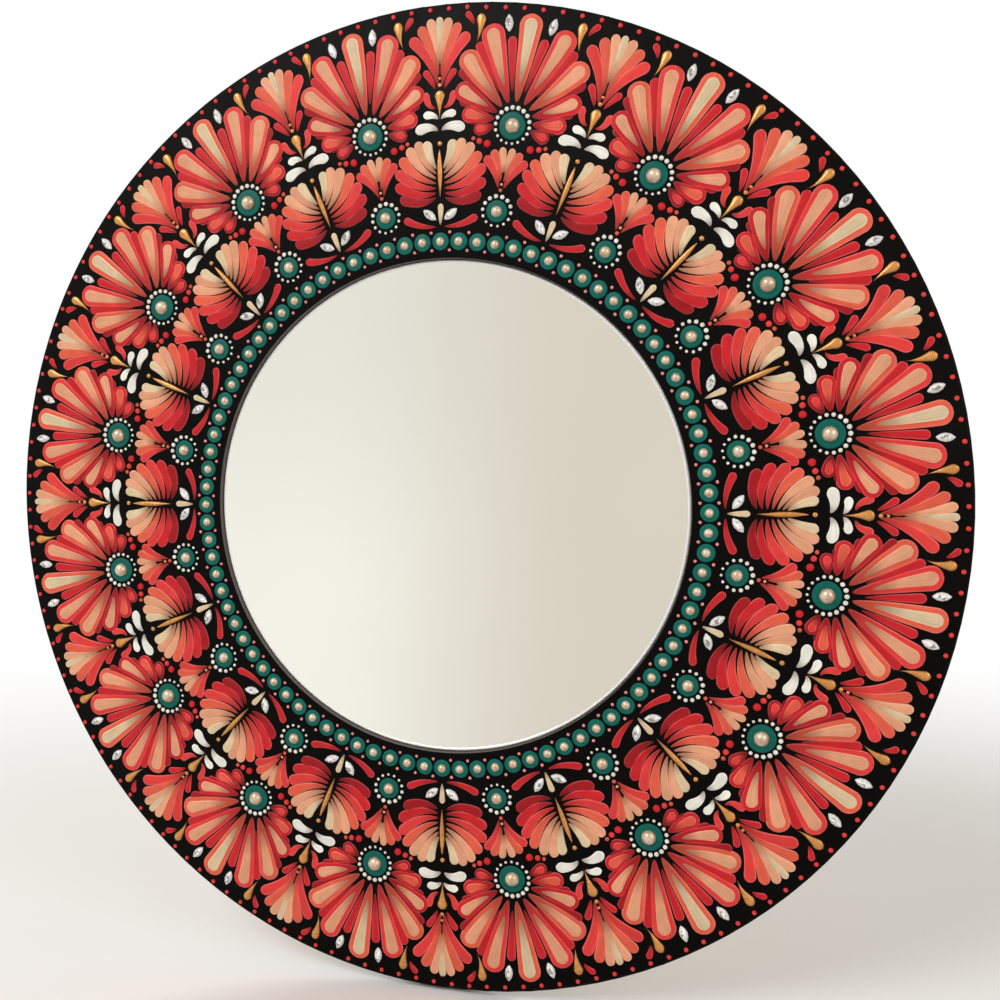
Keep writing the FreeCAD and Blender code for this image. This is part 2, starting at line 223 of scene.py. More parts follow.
def add_node(tree, kind, inputs=None, **settings):
    """New node with its settings and inputs."""
    node = tree.nodes.new(kind)
    for name, value in settings.items():
        setattr(node, name, value)
    feed(tree, node, inputs or {})
    return node


def math_node(tree, operation, *values):
    return add_node(tree, "ShaderNodeMath", dict(enumerate(values)), operation=operation).outputs[0]


def vector_node(tree, operation, inputs):
    return add_node(tree, "ShaderNodeVectorMath", inputs, operation=operation).outputs["Vector"]


def map_range(tree, value, low, high, to_low=0, to_high=1, smooth=False):
    kind = "SMOOTHSTEP" if smooth else "LINEAR"
    keys = {"Value": value, "From Min": low, "From Max": high, "To Min": to_low, "To Max": to_high}
    return add_node(tree, "ShaderNodeMapRange", keys, interpolation_type=kind).outputs["Result"]


# Places of the colour sockets on a Mix node, because its sockets share their names
MIX_FACTOR, MIX_FIRST, MIX_SECOND, MIX_RESULT = 0, 6, 7, 2


def mix_colours(tree, factor, first, second, blend="MIX"):
    """Colour between two colours."""
    keys = {MIX_FACTOR: factor, MIX_FIRST: first, MIX_SECOND: second}
    node = add_node(tree, "ShaderNodeMix", keys, data_type="RGBA", blend_type=blend)
    return node.outputs[MIX_RESULT]


def recoloured(tree, tone, value, saturation=1.0):
    keys = {"Color": tone, "Value": value, "Saturation": saturation}
    return add_node(tree, "ShaderNodeHueSaturation", keys).outputs["Color"]


def object_position(tree):
    return add_node(tree, "ShaderNodeTexCoord").outputs["Object"]


def noise(tree, scale, detail=3.0, roughness=0.55):
    keys = {"Vector": object_position(tree), "Scale": scale, "Detail": detail, "Roughness": roughness}
    return add_node(tree, "ShaderNodeTexNoise", keys).outputs["Fac"]


def radius_from_axis(tree):
    """Distance from the mirror's axis, and depth along it, as sockets."""
    parts = add_node(tree, "ShaderNodeSeparateXYZ", {"Vector": object_position(tree)}).outputs
    squares = [math_node(tree, "MULTIPLY", parts[axis], parts[axis]) for axis in "XZ"]
    return math_node(tree, "SQRT", math_node(tree, "ADD", *squares)), parts["Y"]


def new_tree(name, kind, inputs, outputs):
    """Node tree with named sockets, the sockets of its inputs, and its output node."""
    tree = bpy.data.node_groups.new(name, kind)
    for label, socket_kind, *default in inputs:
        socket = tree.interface.new_socket(label, in_out="INPUT", socket_type="NodeSocket" + socket_kind)
        if default:
            socket.default_value = default[0]
    for label, socket_kind in outputs:
        tree.interface.new_socket(label, in_out="OUTPUT", socket_type="NodeSocket" + socket_kind)
    return tree, tree.nodes.new("NodeGroupInput").outputs, tree.nodes.new("NodeGroupOutput")


def use_effect(tree, maker, **inputs):
    """Outputs of a shared effect, placed in a material with its own values."""
    return add_node(tree, "ShaderNodeGroup", inputs, node_tree=maker()).outputs


def new_finish(name, sockets):
    """Material with its shader's plain sockets set."""
    material = bpy.data.materials.new(name)
    material.use_nodes = True
    tree = material.node_tree
    shader = tree.nodes["Principled BSDF"]
    feed(tree, shader, sockets)
    return material, tree, shader


def add_bump(tree, shader, height, depth, strength=1.0):
    keys = {"Height": height, "Distance": depth, "Strength": strength}
    feed(tree, shader, {"Normal": add_node(tree, "ShaderNodeBump", keys).outputs["Normal"]})


# Effects that several finishes share, each built once

@cache
def uneven_sheen():
    """Roughness that drifts between two values in soft patches."""
    tree, inside, outside = new_tree(
        "Uneven sheen", "ShaderNodeTree",
        [("Scale", "Float", 40.0), ("Smooth", "Float", 0.3), ("Rough", "Float", 0.5)],
        [("Roughness", "Float")])
    patches = noise(tree, inside["Scale"], 4.0, 0.6)
    sheen = map_range(tree, patches, 0.3, 0.7, inside["Smooth"], inside["Rough"])
    feed(tree, outside, {"Roughness": sheen})
    return tree


@cache
def hand_mixed():
    """Colour that is a little lighter and darker from place to place, as mixed by hand."""
    tree, inside, outside = new_tree(
        "Hand mixed", "ShaderNodeTree",
        [("Color", "Color", (0.8, 0.8, 0.8, 1)), ("Scale", "Float", 60.0), ("Amount", "Float", 0.1)],
        [("Color", "Color")])
    patches = map_range(tree, noise(tree, inside["Scale"]), 0.3, 0.7, -1, 1)
    swing = math_node(tree, "MULTIPLY", patches, inside["Amount"])
    feed(tree, outside, {"Color": recoloured(tree, inside["Color"], math_node(tree, "ADD", swing, 1.0))})
    return tree


@cache
def brush_marks():
    """Root, rim and bristle lines of a stroke, from the stroke's own lengthwise and crosswise places."""
    tree, inside, outside = new_tree(
        "Brush marks", "ShaderNodeTree",
        [("Bristles", "Float", 9.0)], [("Root", "Float"), ("Rim", "Float"), ("Height", "Float")])
    place = add_node(tree, "ShaderNodeAttribute", attribute_name="brush").outputs["Vector"]
    parts = add_node(tree, "ShaderNodeSeparateXYZ", {"Vector": place}).outputs
    from_middle = math_node(tree, "ABSOLUTE", parts["Y"])
    across = math_node(tree, "MULTIPLY", parts["Y"], inside["Bristles"])
    lines = add_node(tree, "ShaderNodeCombineXYZ", {"X": parts["X"], "Y": across, "Z": parts["Z"]})
    streaks = add_node(tree, "ShaderNodeTexNoise",
                       {"Vector": lines.outputs["Vector"], "Scale": 1.0, "Detail": 2.0})
    feed(tree, outside, {
        "Root": map_range(tree, parts["X"], 0.0, 0.5, 1, 0, smooth=True),
        "Rim": map_range(tree, from_middle, 0.62, 0.95, smooth=True),
        "Height": streaks.outputs["Fac"]})
    return tree


@cache
def raw_fibre():
    """Bare fibreboard: pressed fibres in two sizes of fleck."""
    tree, inside, outside = new_tree(
        "Raw fibre", "ShaderNodeTree",
        [("Pale", "Color", display(190, 157, 117)), ("Dark", "Color", display(157, 123, 88))],
        [("Color", "Color"), ("Height", "Float")])
    fine = noise(tree, 1300.0, 4.0, 0.7)
    broad = noise(tree, 26.0, 4.0, 0.6)
    fleck = math_node(tree, "ADD", math_node(tree, "MULTIPLY", fine, 0.66),
                      math_node(tree, "MULTIPLY", broad, 0.34))
    tone = mix_colours(tree, map_range(tree, fleck, 0.32, 0.66), inside["Dark"], inside["Pale"])
    feed(tree, outside, {"Color": tone, "Height": fine})
    return tree


# Finishes

def painted_board():
    """Satin black, greyer on the wall of the opening. The back is bare where the black doesn't lap over it.
    """
    material, tree, shader = new_finish("Satin black board", {"Specular IOR Level": 0.06})
    radius, depth = radius_from_axis(tree)
    behind = map_range(tree, depth, BOARD_BACK_Y - 0.4 * MM, BOARD_BACK_Y - 0.1 * MM)
    stray = map_range(tree, noise(tree, 34.0, 4.0), 0, 1, -LAP_STRAY, LAP_STRAY)
    lap_edge = BOARD_RADIUS - PAINT_LAP
    unlapped = map_range(tree, math_node(tree, "ADD", radius, stray), lap_edge, lap_edge + 0.8 * MM, 1, 0)
    bare = math_node(tree, "MULTIPLY", behind, unlapped)
    ground = opaque(bpy.context.scene.mirror_paints.ground)
    black = use_effect(tree, hand_mixed, Color=ground, Scale=35.0, Amount=0.25)["Color"]
    in_opening = map_range(tree, radius, OPENING_RADIUS + 0.1 * MM, OPENING_RADIUS + 0.3 * MM, 1, 0)
    painted = mix_colours(tree, in_opening, black, display(104, 97, 92))
    fibre = use_effect(tree, raw_fibre)
    satin = use_effect(tree, uneven_sheen, Scale=30.0, Smooth=0.42, Rough=0.55)["Roughness"]
    feed(tree, shader, {
        "Base Color": mix_colours(tree, bare, painted, fibre["Color"]),
        "Roughness": math_node(tree, "MAXIMUM", satin, math_node(tree, "MULTIPLY", bare, 0.85))})
    grain = math_node(tree, "ADD", math_node(tree, "MULTIPLY", noise(tree, 420.0, 2.0), 0.5),
                      math_node(tree, "MULTIPLY", fibre["Height"], bare))
    add_bump(tree, shader, grain, 0.04 * MM)
    return material


def bare_board():
    """Fibreboard disc, blackened only in front, where it shows round the glass."""
    material, tree, shader = new_finish("Bare fibreboard", {"Specular IOR Level": 0.3})
    fibre = use_effect(tree, raw_fibre)
    depth = radius_from_axis(tree)[1]
    front = map_range(tree, depth, BOARD_BACK_Y + 0.05 * MM, BOARD_BACK_Y + 0.2 * MM, 1, 0)
    ground = opaque(bpy.context.scene.mirror_paints.ground)
    sheen = use_effect(tree, uneven_sheen, Scale=60.0, Smooth=0.7, Rough=0.9)
    feed(tree, shader, {
        "Base Color": mix_colours(tree, front, fibre["Color"], ground), "Roughness": sheen["Roughness"]})
    add_bump(tree, shader, fibre["Height"], 0.04 * MM)
    return material


def silvered_glass():
    """Clear silvered face, ground edge and grey backing paint."""
    material, tree, shader = new_finish("Silvered glass", {"Coat Roughness": 0.3})
    radius, depth = radius_from_axis(tree)
    edge = GLASS_RADIUS - GLASS_EDGE
    ground_edge = map_range(tree, radius, edge, edge + 0.15 * MM)
    backing = map_range(tree, depth, GLASS_BACK_Y - 0.3 * MM, GLASS_BACK_Y - 0.1 * MM)
    silver = use_effect(tree, hand_mixed, Color=opaque((0.90, 0.92, 0.90)), Scale=6.0, Amount=0.015)
    edged = mix_colours(tree, ground_edge, silver["Color"], opaque((1, 1, 1)))
    dull = math_node(tree, "MAXIMUM", ground_edge, backing)
    haze = use_effect(tree, uneven_sheen, Scale=9.0, Smooth=0.008, Rough=0.022)["Roughness"]
    feed(tree, shader, {
        "Base Color": mix_colours(tree, backing, edged, display(104, 108, 112)),
        "Metallic": map_range(tree, dull, 0, 1, 1, 0),
        "Coat Weight": ground_edge,
        "Roughness": math_node(tree, "MAXIMUM", haze, math_node(tree, "MULTIPLY", dull, 0.4))})
    add_bump(tree, shader, map_range(tree, radius, edge, GLASS_RADIUS), 1.0 * MM)
    return material


def foam_tape():
    """White foam with fine closed cells."""
    material, tree, shader = new_finish("Foam tape", {"Roughness": 0.95})
    cells = add_node(tree, "ShaderNodeTexVoronoi", {"Vector": object_position(tree), "Scale": 1800.0})
    pores = map_range(tree, cells.outputs["Distance"], 0.1, 0.6)
    tone = mix_colours(tree, pores, display(204, 204, 199), display(236, 236, 231))
    feed(tree, shader, {"Base Color": tone})
    add_bump(tree, shader, pores, 0.15 * MM)
    return material


@cache
def zinc_plate():
    """Bright zinc on steel, faintly brushed and blotched."""
    material, tree, shader = new_finish("Zinc plate", {"Metallic": 1.0})
    blotches = use_effect(tree, hand_mixed, Color=display(196, 197, 194), Scale=220.0, Amount=0.08)
    sheen = use_effect(tree, uneven_sheen, Scale=260.0, Smooth=0.24, Rough=0.38)
    feed(tree, shader, {"Base Color": blotches["Color"], "Roughness": sheen["Roughness"]})
    add_bump(tree, shader, noise(tree, 900.0, 2.0), 0.01 * MM)
    return material


@cache
def relief_paint():
    """Acrylic strokes: dark at the root, paler at the ridged rim as a painted highlight, with bristle lines.
    """
    material, tree, shader = new_finish("Relief paint", {"Specular IOR Level": 0.18})
    tint = add_node(tree, "ShaderNodeAttribute", attribute_name="tint").outputs["Color"]
    mixed = use_effect(tree, hand_mixed, Color=tint, Scale=130.0, Amount=0.07)["Color"]
    marks = use_effect(tree, brush_marks, Bristles=9.0)
    streaked = recoloured(tree, mixed, map_range(tree, marks["Height"], 0.3, 0.7, 0.87, 1.13))
    root = math_node(tree, "MULTIPLY", marks["Root"], 0.6)
    shaded = mix_colours(tree, root, streaked, display(120, 78, 76), "MULTIPLY")
    # Painted highlight: the rim is made paler, as if its raised ridges caught the light
    rim = math_node(tree, "MULTIPLY", marks["Rim"], 0.6)
    rim_highlighted = mix_colours(tree, rim, shaded, recoloured(tree, shaded, 1.5, 0.82))
    sheen = use_effect(tree, uneven_sheen, Scale=90.0, Smooth=0.36, Rough=0.52)
    feed(tree, shader, {"Base Color": rim_highlighted, "Roughness": sheen["Roughness"]})
    add_bump(tree, shader, marks["Height"], 0.1 * MM, 0.6)
    return material


@cache
def gold_paint():
    """Metallic paint, darker at the root, with painted shade along the rim, and a little of the bristles in
    it.
    """
    material, tree, shader = new_finish("Gold paint", {})
    gold = opaque(bpy.context.scene.mirror_paints.gold)
    mixed = use_effect(tree, hand_mixed, Color=gold, Scale=240.0, Amount=0.14)["Color"]
    marks = use_effect(tree, brush_marks, Bristles=7.0)
    root = math_node(tree, "MULTIPLY", marks["Root"], 0.5)
    rooted = mix_colours(tree, root, mixed, display(150, 96, 44))
    # Painted shade: the rim is darkened, as the sloping sides of a domed drop would be
    rim = math_node(tree, "MULTIPLY", marks["Rim"], 0.7)
    sheen = use_effect(tree, uneven_sheen, Scale=300.0, Smooth=0.2, Rough=0.34)
    feed(tree, shader, {
        "Base Color": mix_colours(tree, rim, rooted, display(130, 78, 30)),
        "Metallic": map_range(tree, noise(tree, 2200.0, 2.0), 0.35, 0.65, 0.25, 0.5),
        "Roughness": sheen["Roughness"]})
    add_bump(tree, shader, marks["Height"], 0.06 * MM, 0.5)
    return material


@cache
def pearl_lustre():
    """Cream pearl with a rosy drift and a clear skin."""
    material, tree, shader = new_finish("Pearl lustre", {"Coat Weight": 0.5, "Coat Roughness": 0.12})
    pearl = opaque(bpy.context.scene.mirror_paints.pearl)
    drift = map_range(tree, noise(tree, 260.0, 2.0), 0.35, 0.65)
    sheen = use_effect(tree, uneven_sheen, Scale=320.0, Smooth=0.22, Rough=0.36)
    feed(tree, shader, {
        "Base Color": mix_colours(tree, drift, pearl, display(204, 174, 144)),
        "Metallic": map_range(tree, drift, 0, 1, 0.25, 0.5),
        "Roughness": sheen["Roughness"]})
    return material


@cache
def foiled_crystal():
    """Clear stone on silver foil, with painted reflections: a white crown and broken grey flashes in the
    polished table.
    """
    material, tree, shader = new_finish("Foiled crystal", {"Coat Weight": 0.6, "Coat Roughness": 0.03})
    height = bpy.context.scene.mirror_stones.crystal_height
    cells = add_node(tree, "ShaderNodeTexVoronoi", {"Vector": object_position(tree), "Scale": 640.0})
    flash = add_node(tree, "ShaderNodeSeparateColor", {"Color": cells.outputs["Color"]}).outputs["Red"]
    depth = radius_from_axis(tree)[1]
    table = map_range(tree, depth, FACE_Y - 0.97 * height, FACE_Y - 0.8 * height, 1, 0)
    # Painted reflections: grey flashes in the table and a white crown stand for what the facets would
    # reflect
    dark = math_node(tree, "MULTIPLY", table, map_range(tree, flash, 0.35, 0.6, 1, 0))
    crown = mix_colours(tree, flash, display(238, 240, 242), display(255, 255, 255))
    feed(tree, shader, {
        "Base Color": mix_colours(tree, dark, crown, display(158, 158, 146)),
        "Metallic": map_range(tree, dark, 0, 1, 0.1, 0.5),
        "Roughness": map_range(tree, flash, 0, 1, 0.16, 0.05)})
    return material


# Raised paint

def bezier(points, share):
    """Point of a curve drawn by its control points."""
    while len(points) > 1:
        points = [first.lerp(second, share) for first, second in zip(points, points[1:])]
    return points[0]


def comma_width(share, head, swell):
    """Width of a comma stroke: it swells from its root, fast or slowly, and ends in a round head."""
    if share < head:
        return (share / head) ** swell
    return math.sqrt(max(0.0, 1 - ((share - head) / (1 - head)) ** 2))


def leaf_width(share, belly):
    """Width of a stroke that is pointed at both ends."""
    power_to_belly = math.log(0.5) / math.log(belly)
    return math.sin(math.pi * share ** power_to_belly) ** 0.8


def polar(centre, degrees, reach):
    """Point at a distance from a centre, in degrees clockwise from outwards."""
    angle = math.radians(degrees)
    return (centre[0] + reach * math.sin(angle), centre[1] + reach * math.cos(angle))


def both_hands(across):
    """Signs for a place and its mirror image, or one sign on the middle line."""
    return (1, -1) if across else (1,)


class Relief:
    """Raised strokes and dots of one sector, in millimetres: sideways and out from the centre."""

    LEAF_STATIONS = 13
    BODY_STATIONS = 8
    # Degrees round the head of a comma, from its widest place towards its end
    HEAD_STATIONS = (0, 20, 38, 54, 68, 80)
    # The head's largest share of a comma
    HEAD_LIMIT = 0.45
    # Widest band over which a stroke rises from the board, and the share of a narrow stroke's half width
    RIM, RIM_SHARE = 1.1, 0.42
    # Places across a stroke and the share of its rise there: a ridge on each side of a shallow trough
    RIDGES = ((-1, 0), (-0.86, 0.74), (-0.58, 1), (0, 0.86), (0.58, 1), (0.86, 0.74), (1, 0))
    # The same for a thick drop: one round crest
    CREST = ((-1, 0), (-0.84, 1.1), (-0.46, 2.0), (0, 2.4), (0.46, 2.0), (0.84, 1.1), (1, 0))
    # Share of the full rise that the thinnest stroke keeps
    THIN_RISE = 0.25
    # Power by which a stroke and a drop swell from the root
    STROKE_SWELL, DROP_SWELL = 0.55, 1.8
    # Reach and share of the rise of each ring of a dot and of a disc
    DOT_RINGS = ((1, 0), (0.88, 0.52), (0.5, 0.88))
    DISC_RINGS = ((1, 0), (0.95, 0.75), (0.86, 1))
    # Height of a dot by its diameter, and the largest diameter that needs fewer corners
    DOT_RISE, SMALL_DOT = 0.3, 2
    DOT_CORNERS, SMALL_DOT_CORNERS, DISC_CORNERS = 12, 9, 20
    # How much the dots of a ring grow towards the outside of the board
    DOT_GROWTH = 0.26
    # How much the strokes of one paint differ in shade, and the places where their bristle lines start
    SHADES, GRAINS = (0.92, 1.06), (0, 40)

    def __init__(self, turn=0.0, seed=1, section=RIDGES):
        self.turn = math.radians(turn)
        self.section = section
        self.swell = self.DROP_SWELL if section is self.CREST else self.STROKE_SWELL
        self.random = random.Random(seed)
        self.relief = bpy.context.scene.mirror_relief
        self.paints = bpy.context.scene.mirror_paints
        self.points, self.faces, self.smooth = [], [], []
        self.tints, self.marks = [], []

    def add_point(self, place, rise, tint, mark):
        """One point of the paint, with its colour and its place in the stroke."""
        across, out = place
        sine, cosine = math.sin(self.turn), math.cos(self.turn)
        right, up = across * cosine + out * sine, out * cosine - across * sine
        depth = FACE_Y - rise if rise > 0 else FACE_Y + self.relief.sink
        self.points.append((right * MM, depth, up * MM))
        self.tints.append(tint)
        self.marks.append(mark)
        return len(self.points) - 1

    def add_face(self, corners, smooth=True):
        self.faces.append(corners)
        self.smooth.append(smooth)

    def loaded_brush(self, paint):
        """Shade of one stroke or dot, and where its bristle lines start."""
        tint = opaque(getattr(self.paints, paint), self.random.uniform(*self.SHADES))
        return tint, self.random.uniform(*self.GRAINS)

    def leaf_shares(self):
        """Shares of a leaf's length at which it is drawn, closer together at its ends."""
        steps = self.LEAF_STATIONS
        return [(1 - math.cos(math.pi * step / steps)) / 2 for step in range(steps + 1)]

    def comma_shares(self, head):
        """Shares of a comma's length at which it is drawn, closer together at its root and in its head."""
        steps = self.BODY_STATIONS
        body = [head * (1 - math.cos(math.pi / 2 * step / steps)) for step in range(steps)]
        turns = [math.radians(turn) for turn in self.HEAD_STATIONS]
        return body + [head + (1 - head) * math.sin(turn) for turn in turns] + [1]

    def section_row(self, half, to_tip):
        """Places across a stroke, levels and marks. A wide stroke's rim is as narrow as a thin one's."""
        squeeze = min(1.0, self.RIM / (self.RIM_SHARE * half))
        row = []
        for across, level in self.section:
            place = math.copysign(1 - (1 - abs(across)) * squeeze, across) if across else 0.0
            mark = across
            if to_tip < 1:
                mark = math.copysign(max(abs(across), 1 - self.RIM_SHARE * to_tip), across)
            row.append((place, level, mark))
        return row

    def stroke(self, route, width, paint, belly=None, layer=0):
        """One stroke along a curve: a comma, or a leaf that is widest at belly. High layers lie on top."""
        control = [Vector(point) for point in route]
        tint, grain = self.loaded_brush(paint)
        steps = self.LEAF_STATIONS
        rough_line = [bezier(control, step / steps) for step in range(steps + 1)]
        length = sum((second - first).length for first, second in zip(rough_line, rough_line[1:]))
        head = 1 - min(self.HEAD_LIMIT, 0.5 * width / length)
        shares = self.leaf_shares() if belly else self.comma_shares(head)
        line = [bezier(control, share) for share in shares]
        lift = layer * self.relief.layer_step
        rows = []
        for step in range(1, len(shares) - 1):
            share = shares[step]
            along = (line[step + 1] - line[step - 1]).normalized()
            side = Vector((along.y, -along.x))
            swelling = leaf_width(share, belly) if belly else comma_width(share, head, self.swell)
            half = width / 2 * swelling
            to_tip = min(1.0, (1 - share) * length / self.RIM)
            rise = self.relief.stroke_rise * min(1.0, self.THIN_RISE + half / 2) * math.sqrt(to_tip)
            row = []
            for place, level, mark in self.section_row(half, to_tip):
                spot = line[step] + side * half * place
                height = lift + rise * level if level else 0
                row.append(self.add_point(spot, height, tint, (share, mark, grain)))
            rows.append(row)
        root = self.add_point(line[0], 0, tint, (0, 0, grain))
        tip = self.add_point(line[-1], 0, tint, (1, 1, grain))
        for near, far in zip(rows, rows[1:]):
            for left in range(len(near) - 1):
                self.add_face((near[left], near[left + 1], far[left + 1], far[left]))
            self.add_face((near[0], far[0], far[-1], near[-1]), smooth=False)
        first, last = rows[0], rows[-1]
        for left in range(len(first) - 1):
            self.add_face((root, first[left + 1], first[left]))
            self.add_face((last[left], last[left + 1], tip))
        self.add_face((root, first[0], first[-1]), smooth=False)
        self.add_face((last[0], tip, last[-1]), smooth=False)

    def strokes(self, *drawn):
        """Comma strokes by route, width, paint and layer, also mirrored off the middle line."""
        for route, width, paint, layer in drawn:
            for hand in both_hands(any(across for across, out in route)):
                self.stroke([(hand * across, out) for across, out in route], width, paint, layer=layer)

    def round_patch(self, centre, diameter, rise, rings, corners, paint):
        """Domed or flat-topped round patch of paint."""
        tint, grain = self.loaded_brush(paint)
        radius = diameter / 2
        rows = []
        for reach, level in rings:
            rows.append([self.add_point(polar(centre, 360 * corner / corners, radius * reach),
                                        rise * level, tint, (1, float(level == 0), grain))
                         for corner in range(corners)])
        for outer, inner in zip(rows, rows[1:]):
            for corner in range(corners):
                following = (corner + 1) % corners
                self.add_face((outer[following], outer[corner], inner[corner], inner[following]))
        top = self.add_point(centre, rise, tint, (1, 0, grain))
        for corner in range(corners):
            self.add_face((rows[-1][(corner + 1) % corners], rows[-1][corner], top))
        self.add_face(tuple(rows[0]), smooth=False)

    def dot(self, centre, diameter, paint):
        corners = self.DOT_CORNERS if diameter > self.SMALL_DOT else self.SMALL_DOT_CORNERS
        self.round_patch(centre, diameter, self.DOT_RISE * diameter * MM, self.DOT_RINGS, corners, paint)

    def dots(self, *drawn):
        """Dots by place, diameter and paint, also mirrored off the middle line."""
        for (across, out), diameter, paint in drawn:
            for hand in both_hands(across):
                self.dot((hand * across, out), diameter, paint)

    def disc(self, centre, diameter):
        rise = self.relief.disc_rise
        self.round_patch(centre, diameter, rise, self.DISC_RINGS, self.DISC_CORNERS, "teal")

    def eye(self, centre, disc_diameter, reach, copies, diameter):
        """Disc in a ring of white dots that grow towards the outside of the board."""
        self.disc(centre, disc_diameter)
        for index in range(copies):
            turn = 360 * (index + 0.5) / copies
            growth = 1 + self.DOT_GROWTH * math.cos(math.radians(turn))
            self.dot(polar(centre, turn, reach), growth * diameter, "white")

    def to_mesh(self, name):
        mesh = bpy.data.meshes.new(name)
        mesh.from_pydata(self.points, [], self.faces)
        mesh.polygons.foreach_set("use_smooth", self.smooth)
        tints = mesh.attributes.new("tint", "FLOAT_COLOR", "POINT")
        tints.data.foreach_set("color", [part for tint in self.tints for part in tint])
        marks = mesh.attributes.new("brush", "FLOAT_VECTOR", "POINT")
        marks.data.foreach_set("vector", [part for mark in self.marks for part in mark])
        return mesh


# Making and repeating pieces

def linked(name, data):
    """Object in the scene."""
    made = bpy.data.objects.new(name, data)
    bpy.context.scene.collection.objects.link(made)
    return made


def attach(piece, node=None, body="board"):
    """The piece moves with a body and may stand for a CAD node, which it hides."""
    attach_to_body(piece, body)
    if node:
        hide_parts(node)


def smoothed(node, name, finish, body="board"):
    """Copy of a CAD node with its triangles joined, so that its round faces shade smoothly."""
    mesh = bpy.data.meshes.new(name)
    shell = bmesh.new()
    shell.from_mesh(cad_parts[node].data)
    bmesh.ops.remove_doubles(shell, verts=shell.verts, dist=WELD_DISTANCE)
    shell.to_mesh(mesh)
    shell.free()
    if mesh.has_custom_normals:
        mesh.attributes.remove(mesh.attributes["custom_normal"])
    mesh.shade_smooth()
    mesh.set_sharp_from_angle(angle=math.radians(SHARP_ANGLE))
    mesh.materials.clear()
    mesh.materials.append(finish)
    attach(linked(name, mesh), node, body)


def copies_at(tree, places, shape, **keys):
    """Real copies of a shape at places."""
    keys = {"Points": places.outputs["Mesh"], "Instance": shape, **keys}
    copies = add_node(tree, "GeometryNodeInstanceOnPoints", keys)
    joined = add_node(tree, "GeometryNodeRealizeInstances", {"Geometry": copies.outputs["Instances"]})
    return joined.outputs["Geometry"]


def finish_tree(tree, outside, geometry, material):
    keys = {"Geometry": geometry, "Material": material}
    finished = add_node(tree, "GeometryNodeSetMaterial", keys)
    feed(tree, outside, {"Copies": finished.outputs["Geometry"]})


@cache
def ring_tree():
    """Node tree that repeats a shape round the mirror's axis, a little uneven as handwork is."""
    tree, inside, outside = new_tree(
        "Ring of copies", "GeometryNodeTree",
        [("Shape", "Geometry"), ("Count", "Int"), ("First Step", "Float"), ("Wobble", "Float"),
         ("Wobble Size", "Float"), ("Finish", "Material")],
        [("Copies", "Geometry")])
    places = add_node(tree, "GeometryNodeMeshLine", {"Count": inside["Count"], "Offset": (0, 0, 0)})
    step = math_node(tree, "ADD", add_node(tree, "GeometryNodeInputIndex").outputs[0], inside["First Step"])
    angle = math_node(tree, "DIVIDE", math_node(tree, "MULTIPLY", step, 2 * math.pi), inside["Count"])
    turn = add_node(tree, "ShaderNodeCombineXYZ", {"Y": angle}).outputs["Vector"]
    joined = copies_at(tree, places, inside["Shape"], Rotation=turn)
    drift = add_node(tree, "ShaderNodeTexNoise", {
        "Vector": add_node(tree, "GeometryNodeInputPosition").outputs[0],
        "Scale": math_node(tree, "DIVIDE", 1.0, inside["Wobble Size"]), "Detail": 1.0})
    centred = vector_node(tree, "SUBTRACT", {0: drift.outputs["Color"], 1: (0.5, 0.5, 0.5)})
    # The noise stays within about a quarter of its middle, and the paint strays only along the face
    flat = vector_node(tree, "MULTIPLY", {0: centred, 1: (4, 0, 4)})
    stray = vector_node(tree, "SCALE", {0: flat, "Scale": inside["Wobble"]})
    moved = add_node(tree, "GeometryNodeSetPosition", {"Geometry": joined, "Offset": stray})
    finish_tree(tree, outside, moved.outputs["Geometry"], inside["Finish"])
    return tree


@cache
def row_tree():
    """Node tree that repeats a shape along a straight row."""
    tree, inside, outside = new_tree(
        "Row of copies", "GeometryNodeTree",
        [("Shape", "Geometry"), ("Count", "Int"), ("Start", "Vector"), ("Step", "Vector"),
         ("Finish", "Material")],
        [("Copies", "Geometry")])
    places = add_node(tree, "GeometryNodeMeshLine", {
        "Count": inside["Count"], "Start Location": inside["Start"], "Offset": inside["Step"]})
    finish_tree(tree, outside, copies_at(tree, places, inside["Shape"]), inside["Finish"])
    return tree


def grown(shape, tree, values):
    """Object with the plain mesh that a node tree makes of a shape."""
    piece = linked(shape.name, shape)
    modifier = piece.modifiers.new(tree.name, "NODES")
    modifier.node_group = tree
    for socket in tree.interface.items_tree:
        if socket.in_out == "INPUT" and socket.name in values:
            modifier[socket.identifier] = values[socket.name]
    depsgraph = bpy.context.evaluated_depsgraph_get()
    result = bpy.data.meshes.new_from_object(
        piece.evaluated_get(depsgraph), preserve_all_data_layers=True, depsgraph=depsgraph)
    piece.modifiers.clear()
    piece.data = result
    bpy.data.meshes.remove(shape)
    return piece


def ring_of(shape, copies, finish, first_step=0.0, steady=True):
    """Object that repeats a mesh round the mirror's axis, steadily or with the hand's small errors."""
    relief = bpy.context.scene.mirror_relief
    return grown(shape, ring_tree(), {
        "Count": copies, "First Step": first_step, "Wobble": 0.0 if steady else relief.wobble,
        "Wobble Size": relief.wobble_size, "Finish": finish})


def ring_of_paint(relief, name, copies=SECTORS, first_step=0.0):
    attach(ring_of(relief.to_mesh(name), copies, relief_paint(), first_step, steady=False))


def ring_of_gold(relief, name):
    attach(ring_of(relief.to_mesh(name), SECTORS, gold_paint(), steady=False))


class MIRROR_OT_boards(bpy.types.Operator):
    """Finish the boards, the glass and the foam behind it"""

    bl_idname = "mirror.boards"
    bl_label = "Boards and glass"

    def execute(self, context):
        smoothed("face_ring", "painted_ring", painted_board())
        smoothed("backer_disc", "backing_board", bare_board())
        smoothed("mirror_glass", "mirror_disc", silvered_glass())
        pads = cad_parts["mirror_pads"].data
        pads.materials.clear()
        pads.materials.append(foam_tape())
        return {"FINISHED"}


